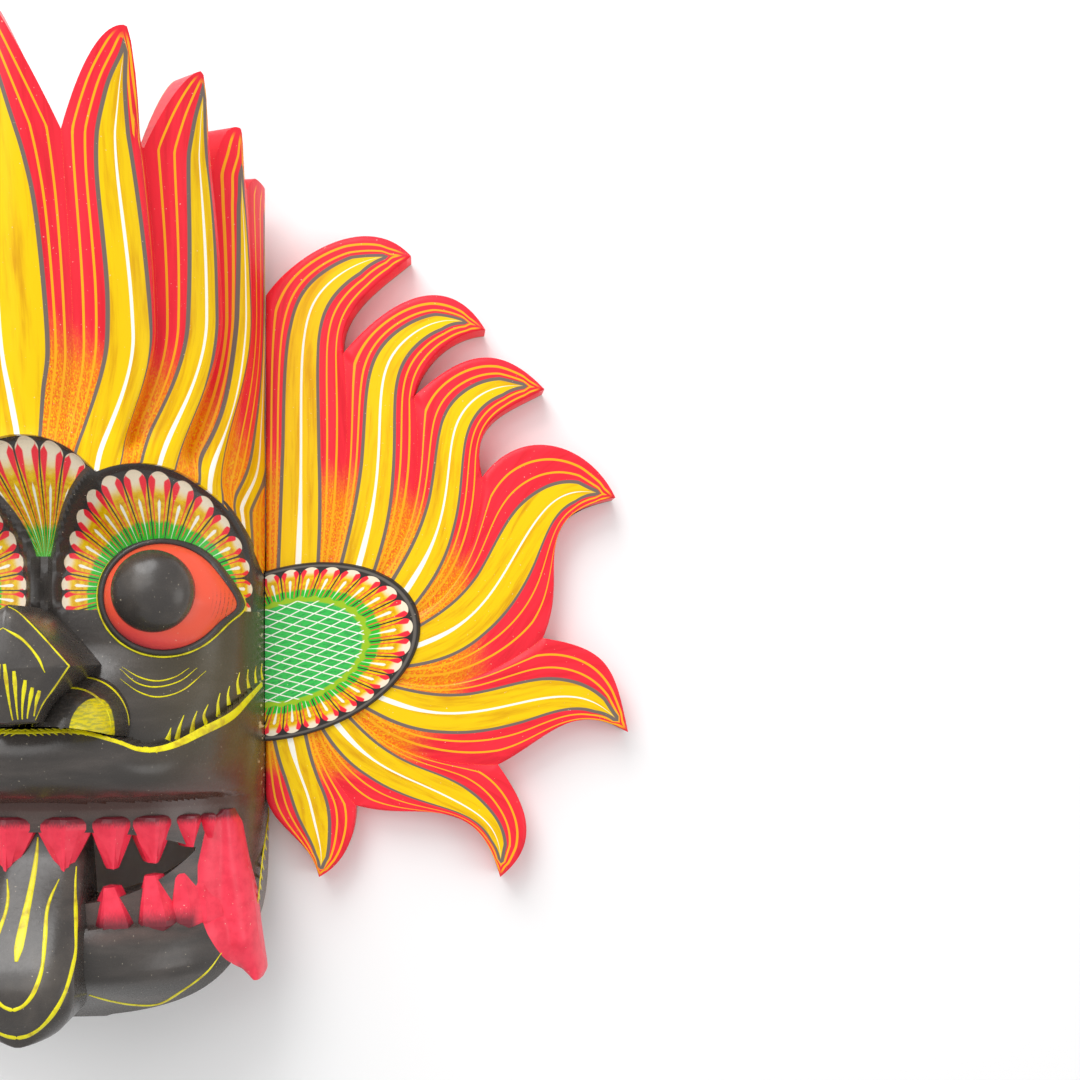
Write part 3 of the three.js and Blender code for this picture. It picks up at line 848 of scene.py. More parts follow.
def oval_colour():
    x, y, _ = millimetres()
    dx, dy = x - OVAL["x"], y - OVAL["y"]
    cos, sin = math.cos(OVAL["tilt"]), math.sin(OVAL["tilt"])
    along, across = dx * cos + dy * sin, dy * cos - dx * sin
    level = length_of(along / OVAL["long"], across / OVAL["short"])
    turn = Sock.maths("ARCTAN2", across / OVAL["short"], along / OVAL["long"])
    reach = length_of(along, across) / larger(level, 0.01)
    count = arc(turn, OVAL["long"] * 0.8, OVAL["short"] * 0.8) / 10.1 + 0.1
    dark = over(paint(52, 48, 46), paint(104, 98, 92), inside(abs(level - 0.955) * 60.0, 0.7, 0.4))
    colour = petal_colour(count, (0.94 - level) * reach, 9.0, 0.36 * reach, dark)
    wave = 0.012 * Sock.maths("SINE", count * 6.2832)
    colour = over(colour, over(GREEN, YELLOW, 0.35), ramp(level + wave, 0.62, 0.6))
    grain = noise(vector(along * 0.25, across * 1.2), 1.0, 3.0)
    green = over(NET_GREEN, paint(55, 150, 80), ramp(grain, 0.45, 0.7))
    colour = over(colour, green, ramp(level, 0.565, 0.545))
    for slope, gap in ((-14.0, 4.4), (27.0, 5.2)):
        angle = math.radians(slope)
        bend = 0.6 * noise(vector(dx * 0.05, dy * 0.05, slope), 1.0, 1.0)
        height = dy * math.cos(angle) - dx * math.sin(angle) + bend
        away = abs(Sock.maths("FRACT", height / gap + 40.0) - 0.5) * gap
        colour = over(colour, WHITE, inside(away, 0.28, 0.15) * ramp(level, 0.575, 0.565))
    return over(flame_colour(), colour, ramp(level, 1.0, 0.995))


board_paint = material("board paint")
enamel("board paint", with_bare_back(oval_colour()), 0.3, 0.22)
for side, node in ((1, "ear_panel_right"), (-1, "ear_panel_left")):
    faces = ear_faces if side > 0 else turned(ear_faces)
    ear_back = ear_front * [1, 1, 0]
    ear = shell(
        node.replace("panel", "board"),
        ear_front * [side, 1, 1],
        ear_back * [side, 1, 1],
        faces,
        {"strip": np.concatenate(ear_strip), "blade": np.concatenate(ear_blade)},
        board_paint,
    )
    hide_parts(node)

# %% [markdown]
# The face is carved in the lower half of the log: a flat cheek under the brow, a thick rolled
# upper lip, two bands of gum and a rolled chin. Behind it the log is hollowed for the wearer,
# and the mouth is cut right through.

# %% The face's form
FACE_FRONT = 76.0
WALL = 15.0
EYE = (56.0, 31.0)
FAN = (52.0, 66.0)
LID = (61.0, 27.5, 31.0, 28.5)
LIP_BOTTOM, LIP_FRONT, LIP_BLEND = -77.0, 122.0, 4.0
# The upper lip's crease, from the middle outwards
CREASE = [(0, -38.5), (20, -37.5), (34, -39.5), (45, -44), (55, -48), (65, -48)]
CREASE += [(75, -44.5), (85, -38), (93, -31), (100, -24), (107, -16)]
GUM_FRONT, JAW_FRONT = 93.0, 105.0
JAW_TOP, JAW_BOTTOM, CHIN_START = -140.0, -192.0, -95.0
MOUTH_HALF, MOUTH_TOP, MOUTH_LOW, MOUTH_CORNER = 78.0, -92.0, -129.0, -103.0


def log_height(x, front):
    return EDGE + (front - EDGE) * np.sqrt(1 - np.clip(np.abs(x) / HALF, 0, 1) ** 2)


def face_height(x):
    return EDGE + (FACE_FRONT - EDGE) * np.sqrt(1 - np.clip(np.abs(x) / HALF, 0, 1) ** 4)


def bump(distance, width, height):
    return height * np.clip(1 - (distance / width) ** 2, 0, 1) ** 1.6


def crease_height(x):
    across, heights = smooth_line(CREASE).T
    return np.interp(np.abs(x), across, heights)


def face_surface(x, y):
    side = np.abs(x)
    share = np.clip(side / HALF, 0, 1)
    taper = 1 - share**4
    plain, gum = face_height(x), log_height(x, GUM_FRONT)
    crease = crease_height(x)
    edge = crown_edge(x)
    brow = np.maximum(log_height(x, CROWN_FRONT) - 8 * np.sqrt(taper), EDGE)
    high = mix(plain, brow, smooth(y, 48, edge))
    cheek = mix(log_height(x, GUM_FRONT + 4), plain, smooth(y, crease, 4))
    across = (crease - y) / (crease - LIP_BOTTOM)
    roll = np.sqrt(np.clip(1 - (1.6 * across - 0.6) ** 2, 0, 1))
    lip = gum + (LIP_FRONT - GUM_FRONT) * roll * taper
    across = (JAW_TOP - y) / (JAW_TOP - JAW_BOTTOM)
    roll = np.sqrt(np.clip(1 - (1.75 * across - 0.85) ** 2, 0, 1))
    jaw = mix(gum, EDGE, 0.4 * smooth(across, 0.4, 1)) + (JAW_FRONT - GUM_FRONT + 6) * (roll - 0.3) * taper
    bands = [y > 48, y > crease, y > LIP_BOTTOM, y > JAW_TOP]
    z = np.select(bands, [high, cheek, lip, gum], jaw)
    under_lip = mix(gum, lip, smooth(y, LIP_BOTTOM - LIP_BLEND, LIP_BOTTOM + LIP_BLEND))
    z = np.where(np.abs(y - LIP_BOTTOM) < LIP_BLEND, under_lip, z)
    level = np.hypot((side - EYE[0]) / FAN[0], (y - EYE[1]) / FAN[1])
    rim = bump((level - 1) * 57 + 1.5, 5.0, 5.5) * smooth(y, 12, 26) * smooth(HALF - side, 0, 6)
    return z + np.maximum(rim, bump(edge - y - 1.0, 4.0, 5.5) * (y > 60))


def block_width(y):
    share = np.clip((CHIN_START - y) / (CHIN_START - JAW_BOTTOM), 0, 0.99)
    return HALF * (1 - share**4) ** 0.4


HOLLOW_LEVELS, HOLLOW_WIDTHS = [-177, -162, -95, 113], [0, 65, 92, 92]
LOWER_ROWS, UPPER_ROWS = 70, 175


def hollow_height(x, y):
    width = np.interp(y, HOLLOW_LEVELS, HOLLOW_WIDTHS)
    roof = mix(58, CROWN_FRONT - WALL, smooth(y, 48, CROWN_BASE))
    z = roof * np.sqrt(np.clip(1 - (x / np.maximum(width, 1)) ** 2, 0, 1))
    return np.where(y < -176, 0, z)


shares = np.sin(np.linspace(-math.pi / 2, math.pi / 2, 181))
across = np.where(np.abs(shares) > 0.999, np.sign(shares), shares)
lips_apart = 1 - np.clip(np.abs(across) * HALF / MOUTH_HALF, 0, 1) ** 3.2
mouth_top = mix(MOUTH_CORNER, MOUTH_TOP, lips_apart)
mouth_low = mix(MOUTH_CORNER - 0.02, MOUTH_LOW, lips_apart)
lower = mix(JAW_BOTTOM, mouth_low, np.linspace(0, 1, LOWER_ROWS)[:, None])
gap = mix(mouth_low, mouth_top, np.array([0.34, 0.67])[:, None])
edge = np.minimum(crown_edge(HALF * across), 112.0)
upper = mix(mouth_top, edge, np.linspace(0, 1, UPPER_ROWS)[:, None])
upper = np.concatenate([upper, edge + np.array([1.0, 2.0, 3.0, 4.0])[:, None]])
y = np.concatenate([lower, gap, upper])
x = block_width(y) * across
z = face_surface(x, y)
z[-4:] -= 24
z = np.maximum(z, 1.0)
z = np.where(np.abs(across) > 0.9995, np.minimum(z, EDGE), z)
front = np.stack([x, y, z], axis=-1)
back_z = np.minimum(hollow_height(x, y), z - 3)
back = np.stack([x, y, np.maximum(back_z, 0)], axis=-1)
keep = np.ones((len(y) - 1, len(across) - 1), bool)
open_cells = (lips_apart[1:] > 0.02) & (lips_apart[:-1] > 0.02)
keep[LOWER_ROWS - 1 : LOWER_ROWS + 2, open_cells] = False
print(f"the face has {front.shape[0]} rows and {front.shape[1]} columns")


# %% [markdown]
# The face is black enamel. Petals fan out round each eye and over the nose, and the upper
# lip turns reddish brown towards the teeth.

# %% Face paint
def face_colour():
    x, y, z = millimetres()
    grain = noise(vector(x * 0.02, y * 0.09, z * 0.03), 1.0, 4.0)
    colour = over(LACQUER, paint(82, 76, 72), ramp(grain, 0.42, 0.75))
    # A painted olive sheen on the black of the outer cheeks, below the brow.
    olive_sheen = ramp(x + 0.4 * y, 20.0, 100.0) * ramp(y, 60.0, 20.0)
    colour = over(colour, paint(84, 74, 44), 0.75 * olive_sheen)
    brown = ramp(y, -64.0, -78.0) * ramp(y, -86.0, -80.0)
    brown = brown + 0.5 * ramp(y, -45.0, -70.0) * ramp(x, 60.0, 90.0)
    colour = over(colour, paint(92, 50, 40), 0.6 * smaller(brown, 1.0) * ramp(y, -88.0, -80.0))
    gum = ramp(y, -80.0, -82.0) * ramp(y, -150.0, -142.0)
    colour = over(colour, paint(104, 84, 78), 0.7 * gum * ramp(grain, 0.3, 0.6))
    chips = ramp(noise(vector(x * 0.3, y * 0.3, z * 0.12), 1.0, 4.0), 0.6, 0.63) * ramp(x, 104.6, 106.0)
    colour = over(colour, paint(206, 186, 150), chips * ramp(y, -90.0, -60.0))
    # The fans round the eyes
    dx, dy = x - EYE[0], y - EYE[1]
    level = length_of(dx / FAN[0], dy / FAN[1])
    lid = length_of((x - LID[0]) / LID[2], (y - LID[1]) / LID[3])
    turn = Sock.maths("ARCTAN2", dy / FAN[1], dx / FAN[0])
    from_rim = (1.0 - level) * 57.0 - 5.5
    to_lid = (lid - 1.0) * 33.0 - 2.0
    count = arc(turn, FAN[0] * 0.88, FAN[1] * 0.88) / 12.2 + 0.35
    petals = petal_colour(count, from_rim, 11.0, larger(from_rim + to_lid, 1.0), LACQUER)
    fan = ramp(to_lid, -0.2, 0.1) * ramp(y, 20.5, 21.0) * ramp(level, 1.0, 0.99)
    colour = over(colour, petals, fan)
    # The fan over the nose
    turn = Sock.maths("ARCTAN2", x, y - 44.0)
    reach = length_of(x, y - 44.0)
    arch = CROWN_BASE - 3.0 - (x / 8.4) * (x / 8.4) - 44.0
    count = turn / math.radians(13.0) + 0.5
    length = arch / Sock.maths("COSINE", turn)
    fan = ramp(level, 1.035, 1.045) * ramp(y, 48.0, 48.5) * ramp(x, 44.0, 43.0)
    petals = petal_colour(count, length - reach, reach * math.radians(12.0), length, LACQUER)
    return over(colour, petals, fan)


face_paint = material("face paint")
enamel("face paint", with_bare_back(face_colour()), 0.2)
face = shell(
    "face",
    flat(front),
    flat(back),
    grid_faces(*x.shape, keep),
    {},
    face_paint,
    30,
)
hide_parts("mask_block")

# %% [markdown]
# The nose is a kite-shaped bulb with steep sides. It is built up in rings, from its foot to a
# rounded front, and so are the domes that come after it.

# %% Nose
NOSE_CENTRE = np.array([0.0, -9.0])
NOSE_SHOULDER = [(0, 21.5), (6.2, 18), (15.2, 9.2), (23.1, 0.5), (30.2, -7.5)]
NOSE_FLANK = [(30.2, -7.5), (23, -18), (18, -25), (15, -31), (13.5, -34.5)]
NOSE_FOOT = (0, -35.5)
# The size of the outline at some heights
NOSE_LEVELS = [(1.0, 60), (1.0, 100), (1.0, 137), (0.985, 140.5), (0.95, 142.3)]
NOSE_LEVELS += [(0.85, 144.2), (0.65, 146), (0.4, 147.3), (0.15, 148)]
NOSE_TIP = 148.2


def closed_rings(name, rings, tip, coat, sharp=40):
    """A closed mesh from rings of points, from a flat base to a pole."""
    count = len(rings[0])
    points = np.concatenate([*rings, [tip], [rings[0].mean(axis=0)]])
    faces = [(a, d, c, b) for a, b, c, d in tube_faces(len(rings), count, ends=False)]
    top, base, last = len(rings) * count, len(rings) * count + 1, (len(rings) - 1) * count
    for column in range(count):
        after = (column + 1) % count
        faces.append((last + column, last + after, top))
        faces.append((after, column, base))
    places = points * MM + [0, BRIDGE * MM, 0]
    return finished(name, places, faces, {}, coat, sharp)


flank = smooth_line(NOSE_FLANK, 1.0)[:-1]
right_nose = np.concatenate([smooth_line(NOSE_SHOULDER, 1.0)[:-1], flank, NOSE_FLANK[-1:], [NOSE_FOOT]])
nose_ring = np.concatenate([right_nose * [-1, 1], right_nose[::-1][1:-1]])
nose_angle = np.arctan2(nose_ring[:, 0] - NOSE_CENTRE[0], nose_ring[:, 1] - NOSE_CENTRE[1])
nose_reach = np.linalg.norm(nose_ring - NOSE_CENTRE, axis=1)
order = np.argsort(nose_angle)


def nose_surface(x, y):
    angle = np.arctan2(x, y - NOSE_CENTRE[1])
    reach = np.interp(angle, nose_angle[order], nose_reach[order], period=2 * math.pi)
    share = np.hypot(x, y - NOSE_CENTRE[1]) / reach
    sizes, heights = zip(*NOSE_LEVELS[:1:-1])
    return np.interp(share, sizes, heights, right=-50)


rings = []
for size, z in NOSE_LEVELS:
    outline = NOSE_CENTRE + (nose_ring - NOSE_CENTRE) * size
    rings.append(np.column_stack([outline, np.full(len(nose_ring), z)]))
black = material("black enamel")
place = object_place()
enamel("black enamel", over(LACQUER, paint(84, 78, 72), ramp(noise(place, 45.0, 4.0), 0.42, 0.75)), 0.2)
closed_rings("nose", rings, np.array([*NOSE_CENTRE, NOSE_TIP]), black, 50)


def dome(name, middle, sizes, base, coat, mirror=1, foot=None):
    """A dome over an ellipse, which is cut off straight where a foot is given."""
    turn = np.linspace(0, 2 * math.pi, 96, endpoint=False)
    rings = [level_ring(middle, sizes[0], sizes[1], turn, base)]
    for lift in np.linspace(0.02, 1, 28)[:-1] * math.pi / 2:
        z = middle[2] + sizes[2] * np.sin(lift)
        rings.append(level_ring(middle, sizes[0] * np.cos(lift), sizes[1] * np.cos(lift), turn, z))
    if foot is not None:
        rings = [np.column_stack([r[:, 0], np.maximum(r[:, 1], foot(r[:, 0])), r[:, 2]]) for r in rings]
    rings = [ring * [mirror, 1, 1] for ring in rings]
    if mirror < 0:
        rings = [ring[::-1] for ring in rings]
    tip = np.array([mirror * middle[0], middle[1], middle[2] + sizes[2]])
    return closed_rings(name, rings, tip, coat)


# %% [markdown]
# Each nostril is a dome cut off by the lip's crease. Its height is also a function, because
# the yellow lines are drawn on it later.

# %% Nostrils
NOSTRIL = (22.5, -38.0, 68.0)
NOSTRIL_SIZE = (26.0, 26.0, 61.0)
# A depth far behind the mask, for places beside the dome
OFF_SURFACE = -50.0


def nostril_surface(x, y):
    across = (np.abs(x) - NOSTRIL[0]) / NOSTRIL_SIZE[0]
    level = 1 - across**2 - ((y - NOSTRIL[1]) / NOSTRIL_SIZE[1]) ** 2
    height = NOSTRIL[2] + NOSTRIL_SIZE[2] * np.sqrt(np.maximum(level, 0))
    return np.where(level > 0, height, OFF_SURFACE)


def nostril_foot(x):
    return crease_height(x) + 0.6


def nostril_colour():
    """Black, with a yellow dome brushed on the nostril's opening."""
    x, y, _ = millimetres()
    grain = noise(vector(x * 0.3, y * 0.8), 1.0, 4.0)
    colour = over(LACQUER, paint(84, 78, 72), ramp(grain, 0.42, 0.75))
    yellow = over(paint(232, 215, 10), paint(185, 180, 50), ramp(grain, 0.42, 0.6))
    away = length_of((x - 34.6) / 8.4, (y + 39.0) / 15.5)
    return over(colour, yellow, ramp(away + 0.04 * grain, 1.03, 0.99))


# %% [markdown]
# Each eye has three parts: the red ball, a black lid round it, and a black iris like a button.
# Ball and lid share one almond outline, with its corner towards the ear.

# %% Eyes
IRIS = (57.0, 30.0, 81.5)
IRIS_SIZE = (21.4, 21.4, 13.5)
BALL_HEIGHT = 13.0


def sclera_colour():
    x, y, _ = millimetres()
    grain = noise(vector(x * 0.6, y * 0.9), 1.0, 4.0)
    colour = over(paint(248, 92, 64), paint(240, 74, 98), ramp(y + x * 0.3, 34.0, 8.0))
    rings = Sock.maths("FRACT", length_of(x - 66.0, y - 28.0) / 1.7)
    lines = ramp(abs(rings - 0.5), 0.34, 0.46) * ramp(grain, 0.35, 0.6)
    lines = lines * ramp(x, 84.0, 90.0) * ramp(y, 34.0, 26.0)
    colour = over(colour, paint(95, 45, 40), 0.7 * lines)
    # Painted shade on the ball round the foot of the iris.
    away = length_of((x - 57.0) / 20.6, (y - 30.0) / 20.6)
    return over(colour, paint(120, 40, 36), 0.7 * ramp(away, 1.04, 1.0))


def almond(turn, size=0.0):
    """The outline of the eye: an ellipse that runs out to a corner at its outer side."""
    corner = 5.5 * np.exp(-((turn / 0.33) ** 2))
    x = LID[0] + (LID[2] + size) * np.cos(turn) + corner
    return x, LID[1] + (LID[3] + size) * np.sin(turn) - 0.6 * corner


def eyeball(name, side, coat):
    """A teardrop that rises from the lid and follows the fall of the cheek outwards."""
    turn = np.linspace(-math.pi, math.pi, 96, endpoint=False)
    edge_x, edge_y = almond(turn, -1.0)
    rings = [np.column_stack([side * edge_x, edge_y, face_height(edge_x) - 6])]
    for lift in np.linspace(0, math.pi / 2, 20)[:-1]:
        x, y = LID[0] + (edge_x - LID[0]) * np.cos(lift), LID[1] + (edge_y - LID[1]) * np.cos(lift)
        rings.append(np.column_stack([side * x, y, face_height(x) + 1 + BALL_HEIGHT * np.sin(lift)]))
    if side < 0:
        rings = [ring[::-1] for ring in rings]
    tip = np.array([side * LID[0], LID[1], face_height(LID[0]) + 1 + BALL_HEIGHT])
    return closed_rings(name, rings, tip, coat)


def lid_ring(name, side, coat):
    """The raised lid, a band with a rounded top that runs round the eyeball."""
    turn = np.linspace(-math.pi, math.pi, 180, endpoint=False)
    section = [(-1.6, -5), (-1.6, 1.5), (-1.0, 2.6), (0.2, 3.0), (1.5, 2.4), (2.6, 0.6), (3.2, -5)]
    loops = []
    for out, up in section:
        x, y = almond(turn, out)
        loops.append(np.column_stack([side * x, y, face_height(np.minimum(x, HALF)) + up]))
    faces = tube_faces(len(section), len(turn), ends=False, loop=True)
    if side < 0:
        faces = turned(faces)
    points = np.concatenate(loops) * MM + [0, BRIDGE * MM, 0]
    return finished(name, points, faces, {}, coat, 60)


# %% [markdown]
# The right-hand parts are mirrored to the left.

# %% Nostrils and eyes as pieces
eye_red = material("eye red")
enamel("eye red", sclera_colour(), 0.25)
nostril_black = material("nostril black")
enamel("nostril black", nostril_colour(), 0.2)
for side, label in ((1, "right"), (-1, "left")):
    base = NOSTRIL[2] - 4
    dome(f"nostril_{label}", NOSTRIL, NOSTRIL_SIZE, base, nostril_black, side, foot=nostril_foot)
    eyeball(f"eye_{label}", side, eye_red)
    lid_ring(f"lid_{label}", side, black)
    dome(f"iris_{label}", IRIS, IRIS_SIZE, 66.0, black, side)

# %% [markdown]
# The tongue hangs out over the chin as one thick slab with a rounded tip.

# %% Tongue
TONGUE_ROOT, TONGUE_TIP, TONGUE_BACK = -93.0, -192.0, 64.0


def tongue_width(y):
    along = (TONGUE_ROOT - y) / (TONGUE_ROOT - TONGUE_TIP)
    rounded = np.sqrt(np.clip(1 - np.clip((along - 0.7) / 0.302, 0, 1) ** 2, 0.0001, 1))
    return mix(22.0, 29.5, np.clip(along, 0, 1)) * rounded


def tongue_surface(x, y):
    along = (TONGUE_ROOT - y) / (TONGUE_ROOT - TONGUE_TIP)
    share = np.clip(np.abs(x) / tongue_width(y), 0, 1)
    front = mix(88.0, 131.0, smooth(along, 0, 0.75)) - 8 * smooth(along, 0.8, 1)
    return front - 6 * share**4 - 3 * (1 - np.sqrt(1 - share**12))


def slab(name, front, back, coat, sharp=50):
    """A closed piece between two grids that is painted all over."""
    faces = grid_faces(*front.shape[:2])
    made = shell(name, flat(front), flat(back), faces, {}, coat, sharp)
    painted = made.data.attributes["side"]
    painted.data.foreach_set("vector", np.tile([1.0, 0, 0], len(made.data.vertices)))
    return made


shares = np.sin(np.linspace(-math.pi / 2, math.pi / 2, 41))
fall = 1 - np.cos(np.linspace(0, math.pi / 2, 60))
rows = TONGUE_TIP + (TONGUE_ROOT - TONGUE_TIP) * fall[:, None]
x = tongue_width(rows) * shares
front = np.stack([x, rows + 0 * x, tongue_surface(x, rows)], axis=-1)
back = np.stack([x, rows + 0 * x, np.full_like(x, TONGUE_BACK)], axis=-1)
slab("tongue", front, back, black)

# %% [markdown]
# The teeth are set along the two bands of gum. One tooth is modelled one unit wide and long,
# a wedge with a ridge down its front. Points on the gum say where each tooth stands.

# %% One tooth and its places
# Each tooth's distance from the middle, its width and its length
FRONT_TEETH = [(14.0, 27.5, 30)]
UPPER_TEETH = [(37.0, 22, 25), (56.2, 21.5, 23), (73, 14.5, 16), (81.5, 9, 12)]
LOWER_TEETH = [(36.0, 23, 22), (56.0, 22, 27), (71, 16, 27), (80, 12, 26)]
TOOTH_DEPTH = 17.0
UPPER_LINE, LOWER_LINE = -86.0, -142.5
TOOTH_SIDES = [(-1, -0.5), (-1, 0.12), (-0.55, 0.34), (-0.1, 0.5)]
TOOTH_SIDES += [(-x, z) for x, z in reversed(TOOTH_SIDES)]


def tooth_mesh(tip):
    """A tooth one unit wide, long and deep that points along -Y, with its front towards +Z."""
    levels = [(0.06, 0.3), (0.02, 0.43), (-0.06, 0.5), (-0.16, 0.5)]
    levels += [(-0.5, 0.29 + 0.45 * tip), (-0.94, tip), (-1.0, 0.8 * tip)]
    points = []
    for y, half in levels:
        points.extend((half * x, y, z * (0.55 + 0.9 * half)) for x, z in TOOTH_SIDES)
    mesh = bpy.data.meshes.new("tooth")
    mesh.from_pydata(points, [], tube_faces(len(levels), len(TOOTH_SIDES)))
    return mesh


def tooth_points(teeth, line, up):
    """Where each tooth stands, and its turn and size."""
    places, turns, sizes = [], [], []
    for x, width, length in teeth:
        for side in (1, -1):
            z = float(log_height(np.array(x), GUM_FRONT - 4.0))
            places.append((side * x * MM, (line + BRIDGE) * MM, z * MM))
            turns.append((0.0, side * math.asin(x / HALF) * 0.9, math.pi if up else 0.0))
            sizes.append((width * MM, length * MM, TOOTH_DEPTH * MM))
    return places, turns, sizes


# %% [markdown]
# A Geometry Nodes tree puts a copy of the tooth on every point, turned and sized as the point
# says, and paints it.

# %% The tree that sets the teeth
def teeth_tree(tooth, coat):
    tree = bpy.data.node_groups.new("teeth along the gum", "GeometryNodeTree")
    face = tree.interface
    face.new_socket("Gum points", in_out="INPUT", socket_type="NodeSocketGeometry")
    scale = face.new_socket("Tooth size", in_out="INPUT", socket_type="NodeSocketFloat")
    scale.default_value = 1.0
    face.new_socket("Teeth", in_out="OUTPUT", socket_type="NodeSocketGeometry")
    nodes, links = tree.nodes, tree.links
    start, end = nodes.new("NodeGroupInput"), nodes.new("NodeGroupOutput")
    source = nodes.new("GeometryNodeObjectInfo")
    source.inputs["Object"].default_value = tooth
    copies = nodes.new("GeometryNodeInstanceOnPoints")
    turn, size = [nodes.new("GeometryNodeInputNamedAttribute") for _ in range(2)]
    for node, name in ((turn, "turn"), (size, "size")):
        node.data_type = "FLOAT_VECTOR"
        node.inputs["Name"].default_value = name
    scaled = nodes.new("ShaderNodeVectorMath")
    scaled.operation = "SCALE"
    rotation = nodes.new("FunctionNodeEulerToRotation")
    realize = nodes.new("GeometryNodeRealizeInstances")
    painted = nodes.new("GeometryNodeSetMaterial")
    painted.inputs["Material"].default_value = coat
    links.new(size.outputs["Attribute"], scaled.inputs[0])
    links.new(start.outputs["Tooth size"], scaled.inputs["Scale"])
    links.new(turn.outputs["Attribute"], rotation.inputs[0])
    links.new(start.outputs["Gum points"], copies.inputs["Points"])
    links.new(source.outputs["Geometry"], copies.inputs["Instance"])
    links.new(rotation.outputs[0], copies.inputs["Rotation"])
    links.new(scaled.outputs[0], copies.inputs["Scale"])
    links.new(copies.outputs[0], realize.inputs[0])
    links.new(realize.outputs[0], painted.inputs["Geometry"])
    links.new(painted.outputs[0], end.inputs[0])
    return tree, scale.identifier


# %% [markdown]
# Both rows are glossy red, with painted shade where they meet the gum.

# %% Teeth
def red_colour():
    """Tooth red, with painted shade where it meets the gum."""
    x, y, z = millimetres()
    grain = noise(vector(x * 0.15, y * 0.15, z * 0.15), 1.0, 4.0)
    fine = noise(vector(x * 1.5, y * 0.5, z * 0.5), 1.0, 3.0)
    colour = over(paint(254, 60, 86), paint(238, 44, 72), ramp(grain, 0.35, 0.7))
    # Painted shade: the upper teeth darken under the lip, and the lower ones darken near their gum.
    upper = ramp(y + 4.0 * (fine - 0.5), -90.5, -86.0)
    lower = ramp(y + 5.0 * (fine - 0.5), -131.0, -140.0) * ramp(x, 80.0, 76.0)
    return over(colour, paint(70, 36, 42), 0.85 * larger(upper, lower))


def set_teeth(name, tooth, teeth, line, up):
    """One row of teeth as a piece, made by running the tree on its gum points."""
    tree, size_input = teeth_tree(tooth, red)
    places, turns, sizes = tooth_points(teeth, line, up)
    gum = bpy.data.meshes.new("gum line")
    gum.from_pydata(places, [], [])
    for key, values in (("turn", turns), ("size", sizes)):
        gum.attributes.new(key, "FLOAT_VECTOR", "POINT").data.foreach_set("vector", np.ravel(values))
    holder = bpy.data.objects.new("gum line", gum)
    bpy.context.collection.objects.link(holder)
    modifier = holder.modifiers.new("teeth", "NODES")
    modifier.node_group = tree
    modifier[size_input] = 1.0
    depsgraph = bpy.context.evaluated_depsgraph_get()
    mesh = bpy.data.meshes.new_from_object(holder.evaluated_get(depsgraph))
    bpy.data.objects.remove(holder)
    painted = mesh.attributes.new("side", "FLOAT_VECTOR", "POINT")
    painted.data.foreach_set("vector", np.tile([1.0, 0, 0], len(mesh.vertices)))
    piece = bpy.data.objects.new(name, mesh)
    bpy.context.collection.objects.link(piece)
    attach(piece, "root")
    print(f"{piece.name}: {len(teeth) * 2} teeth, {len(mesh.polygons)} faces")


red = material("tooth red")
enamel("tooth red", red_colour(), 0.3)
pointed = bpy.data.objects.new("pointed tooth", tooth_mesh(0.05))
blunt = bpy.data.objects.new("blunt tooth", tooth_mesh(0.17))
set_teeth("front_teeth", pointed, FRONT_TEETH, UPPER_LINE, False)
set_teeth("upper_teeth", blunt, UPPER_TEETH, UPPER_LINE, False)
set_teeth("lower_teeth", blunt, LOWER_TEETH, LOWER_LINE, True)

# %% [markdown]
# A red tusk curls down from each corner of the mouth, past the edge of the jaw.

# %% Tusks
TUSK_ROWS = [-84, -92, -112, -128, -139, -148, -155, -162, -168, -173, -176]
TUSK_LEFT = [89, 82, 78, 78, 80, 83.5, 87, 91, 96, 100.5, 103.5]
TUSK_RIGHT = [95, 98.5, 101.5, 104.5, 106, 107, 108, 109, 110, 110.5, 109]
rows = np.linspace(TUSK_ROWS[-1], TUSK_ROWS[0], 50)[:, None]
left = np.interp(-rows, [-v for v in TUSK_ROWS], TUSK_LEFT)
right = np.interp(-rows, [-v for v in TUSK_ROWS], TUSK_RIGHT)
shares = np.sin(np.linspace(-math.pi / 2, math.pi / 2, 21))
x = (left + right) / 2 + (right - left) / 2 * shares
z = 62 - 7 * np.maximum(shares, 0) ** 2 - 5 * shares**4 - 10 * (1 - smooth(rows, -176, -150))
z = np.maximum(z, face_surface(np.minimum(x, 105.0), rows + 0 * x) + 3.0 - 3.0 * shares**2)
for side, label in ((1, "right"), (-1, "left")):
    front = np.stack([side * x, rows + 0 * x, z], axis=-1)
    back = np.stack([side * x, rows + 0 * x, np.minimum(z - 3, 34.0)], axis=-1)
    if side < 0:
        front, back = front[:, ::-1], back[:, ::-1]
    slab(f"tusk_{label}", front, back, red)

# %% [markdown]
# All the yellow lines were drawn last, with a loaded fine brush, and they stand a little
# proud. Each one is a thin ribbon laid on the carved surface, widest where the brush pressed.

# %% The brush
PAINT_THICKNESS = 0.35
SLOPE_STEP, SLOPE_LIMIT = 0.4, 1.5


def laid_on(points, surface):
    """Points and upright directions of a line on a surface."""
    x, y = points.T
    z = surface(x, y)
    slope_x = (surface(x + SLOPE_STEP, y) - surface(x - SLOPE_STEP, y)) / (2 * SLOPE_STEP)
    slope_y = (surface(x, y + SLOPE_STEP) - surface(x, y - SLOPE_STEP)) / (2 * SLOPE_STEP)
    slopes = [-np.clip(slope, -SLOPE_LIMIT, SLOPE_LIMIT) for slope in (slope_x, slope_y)]
    normal = np.stack([*slopes, np.ones_like(x)], axis=1)
    normal /= np.linalg.norm(normal, axis=1)[:, None]
    return np.stack([x, y, z], axis=1), normal


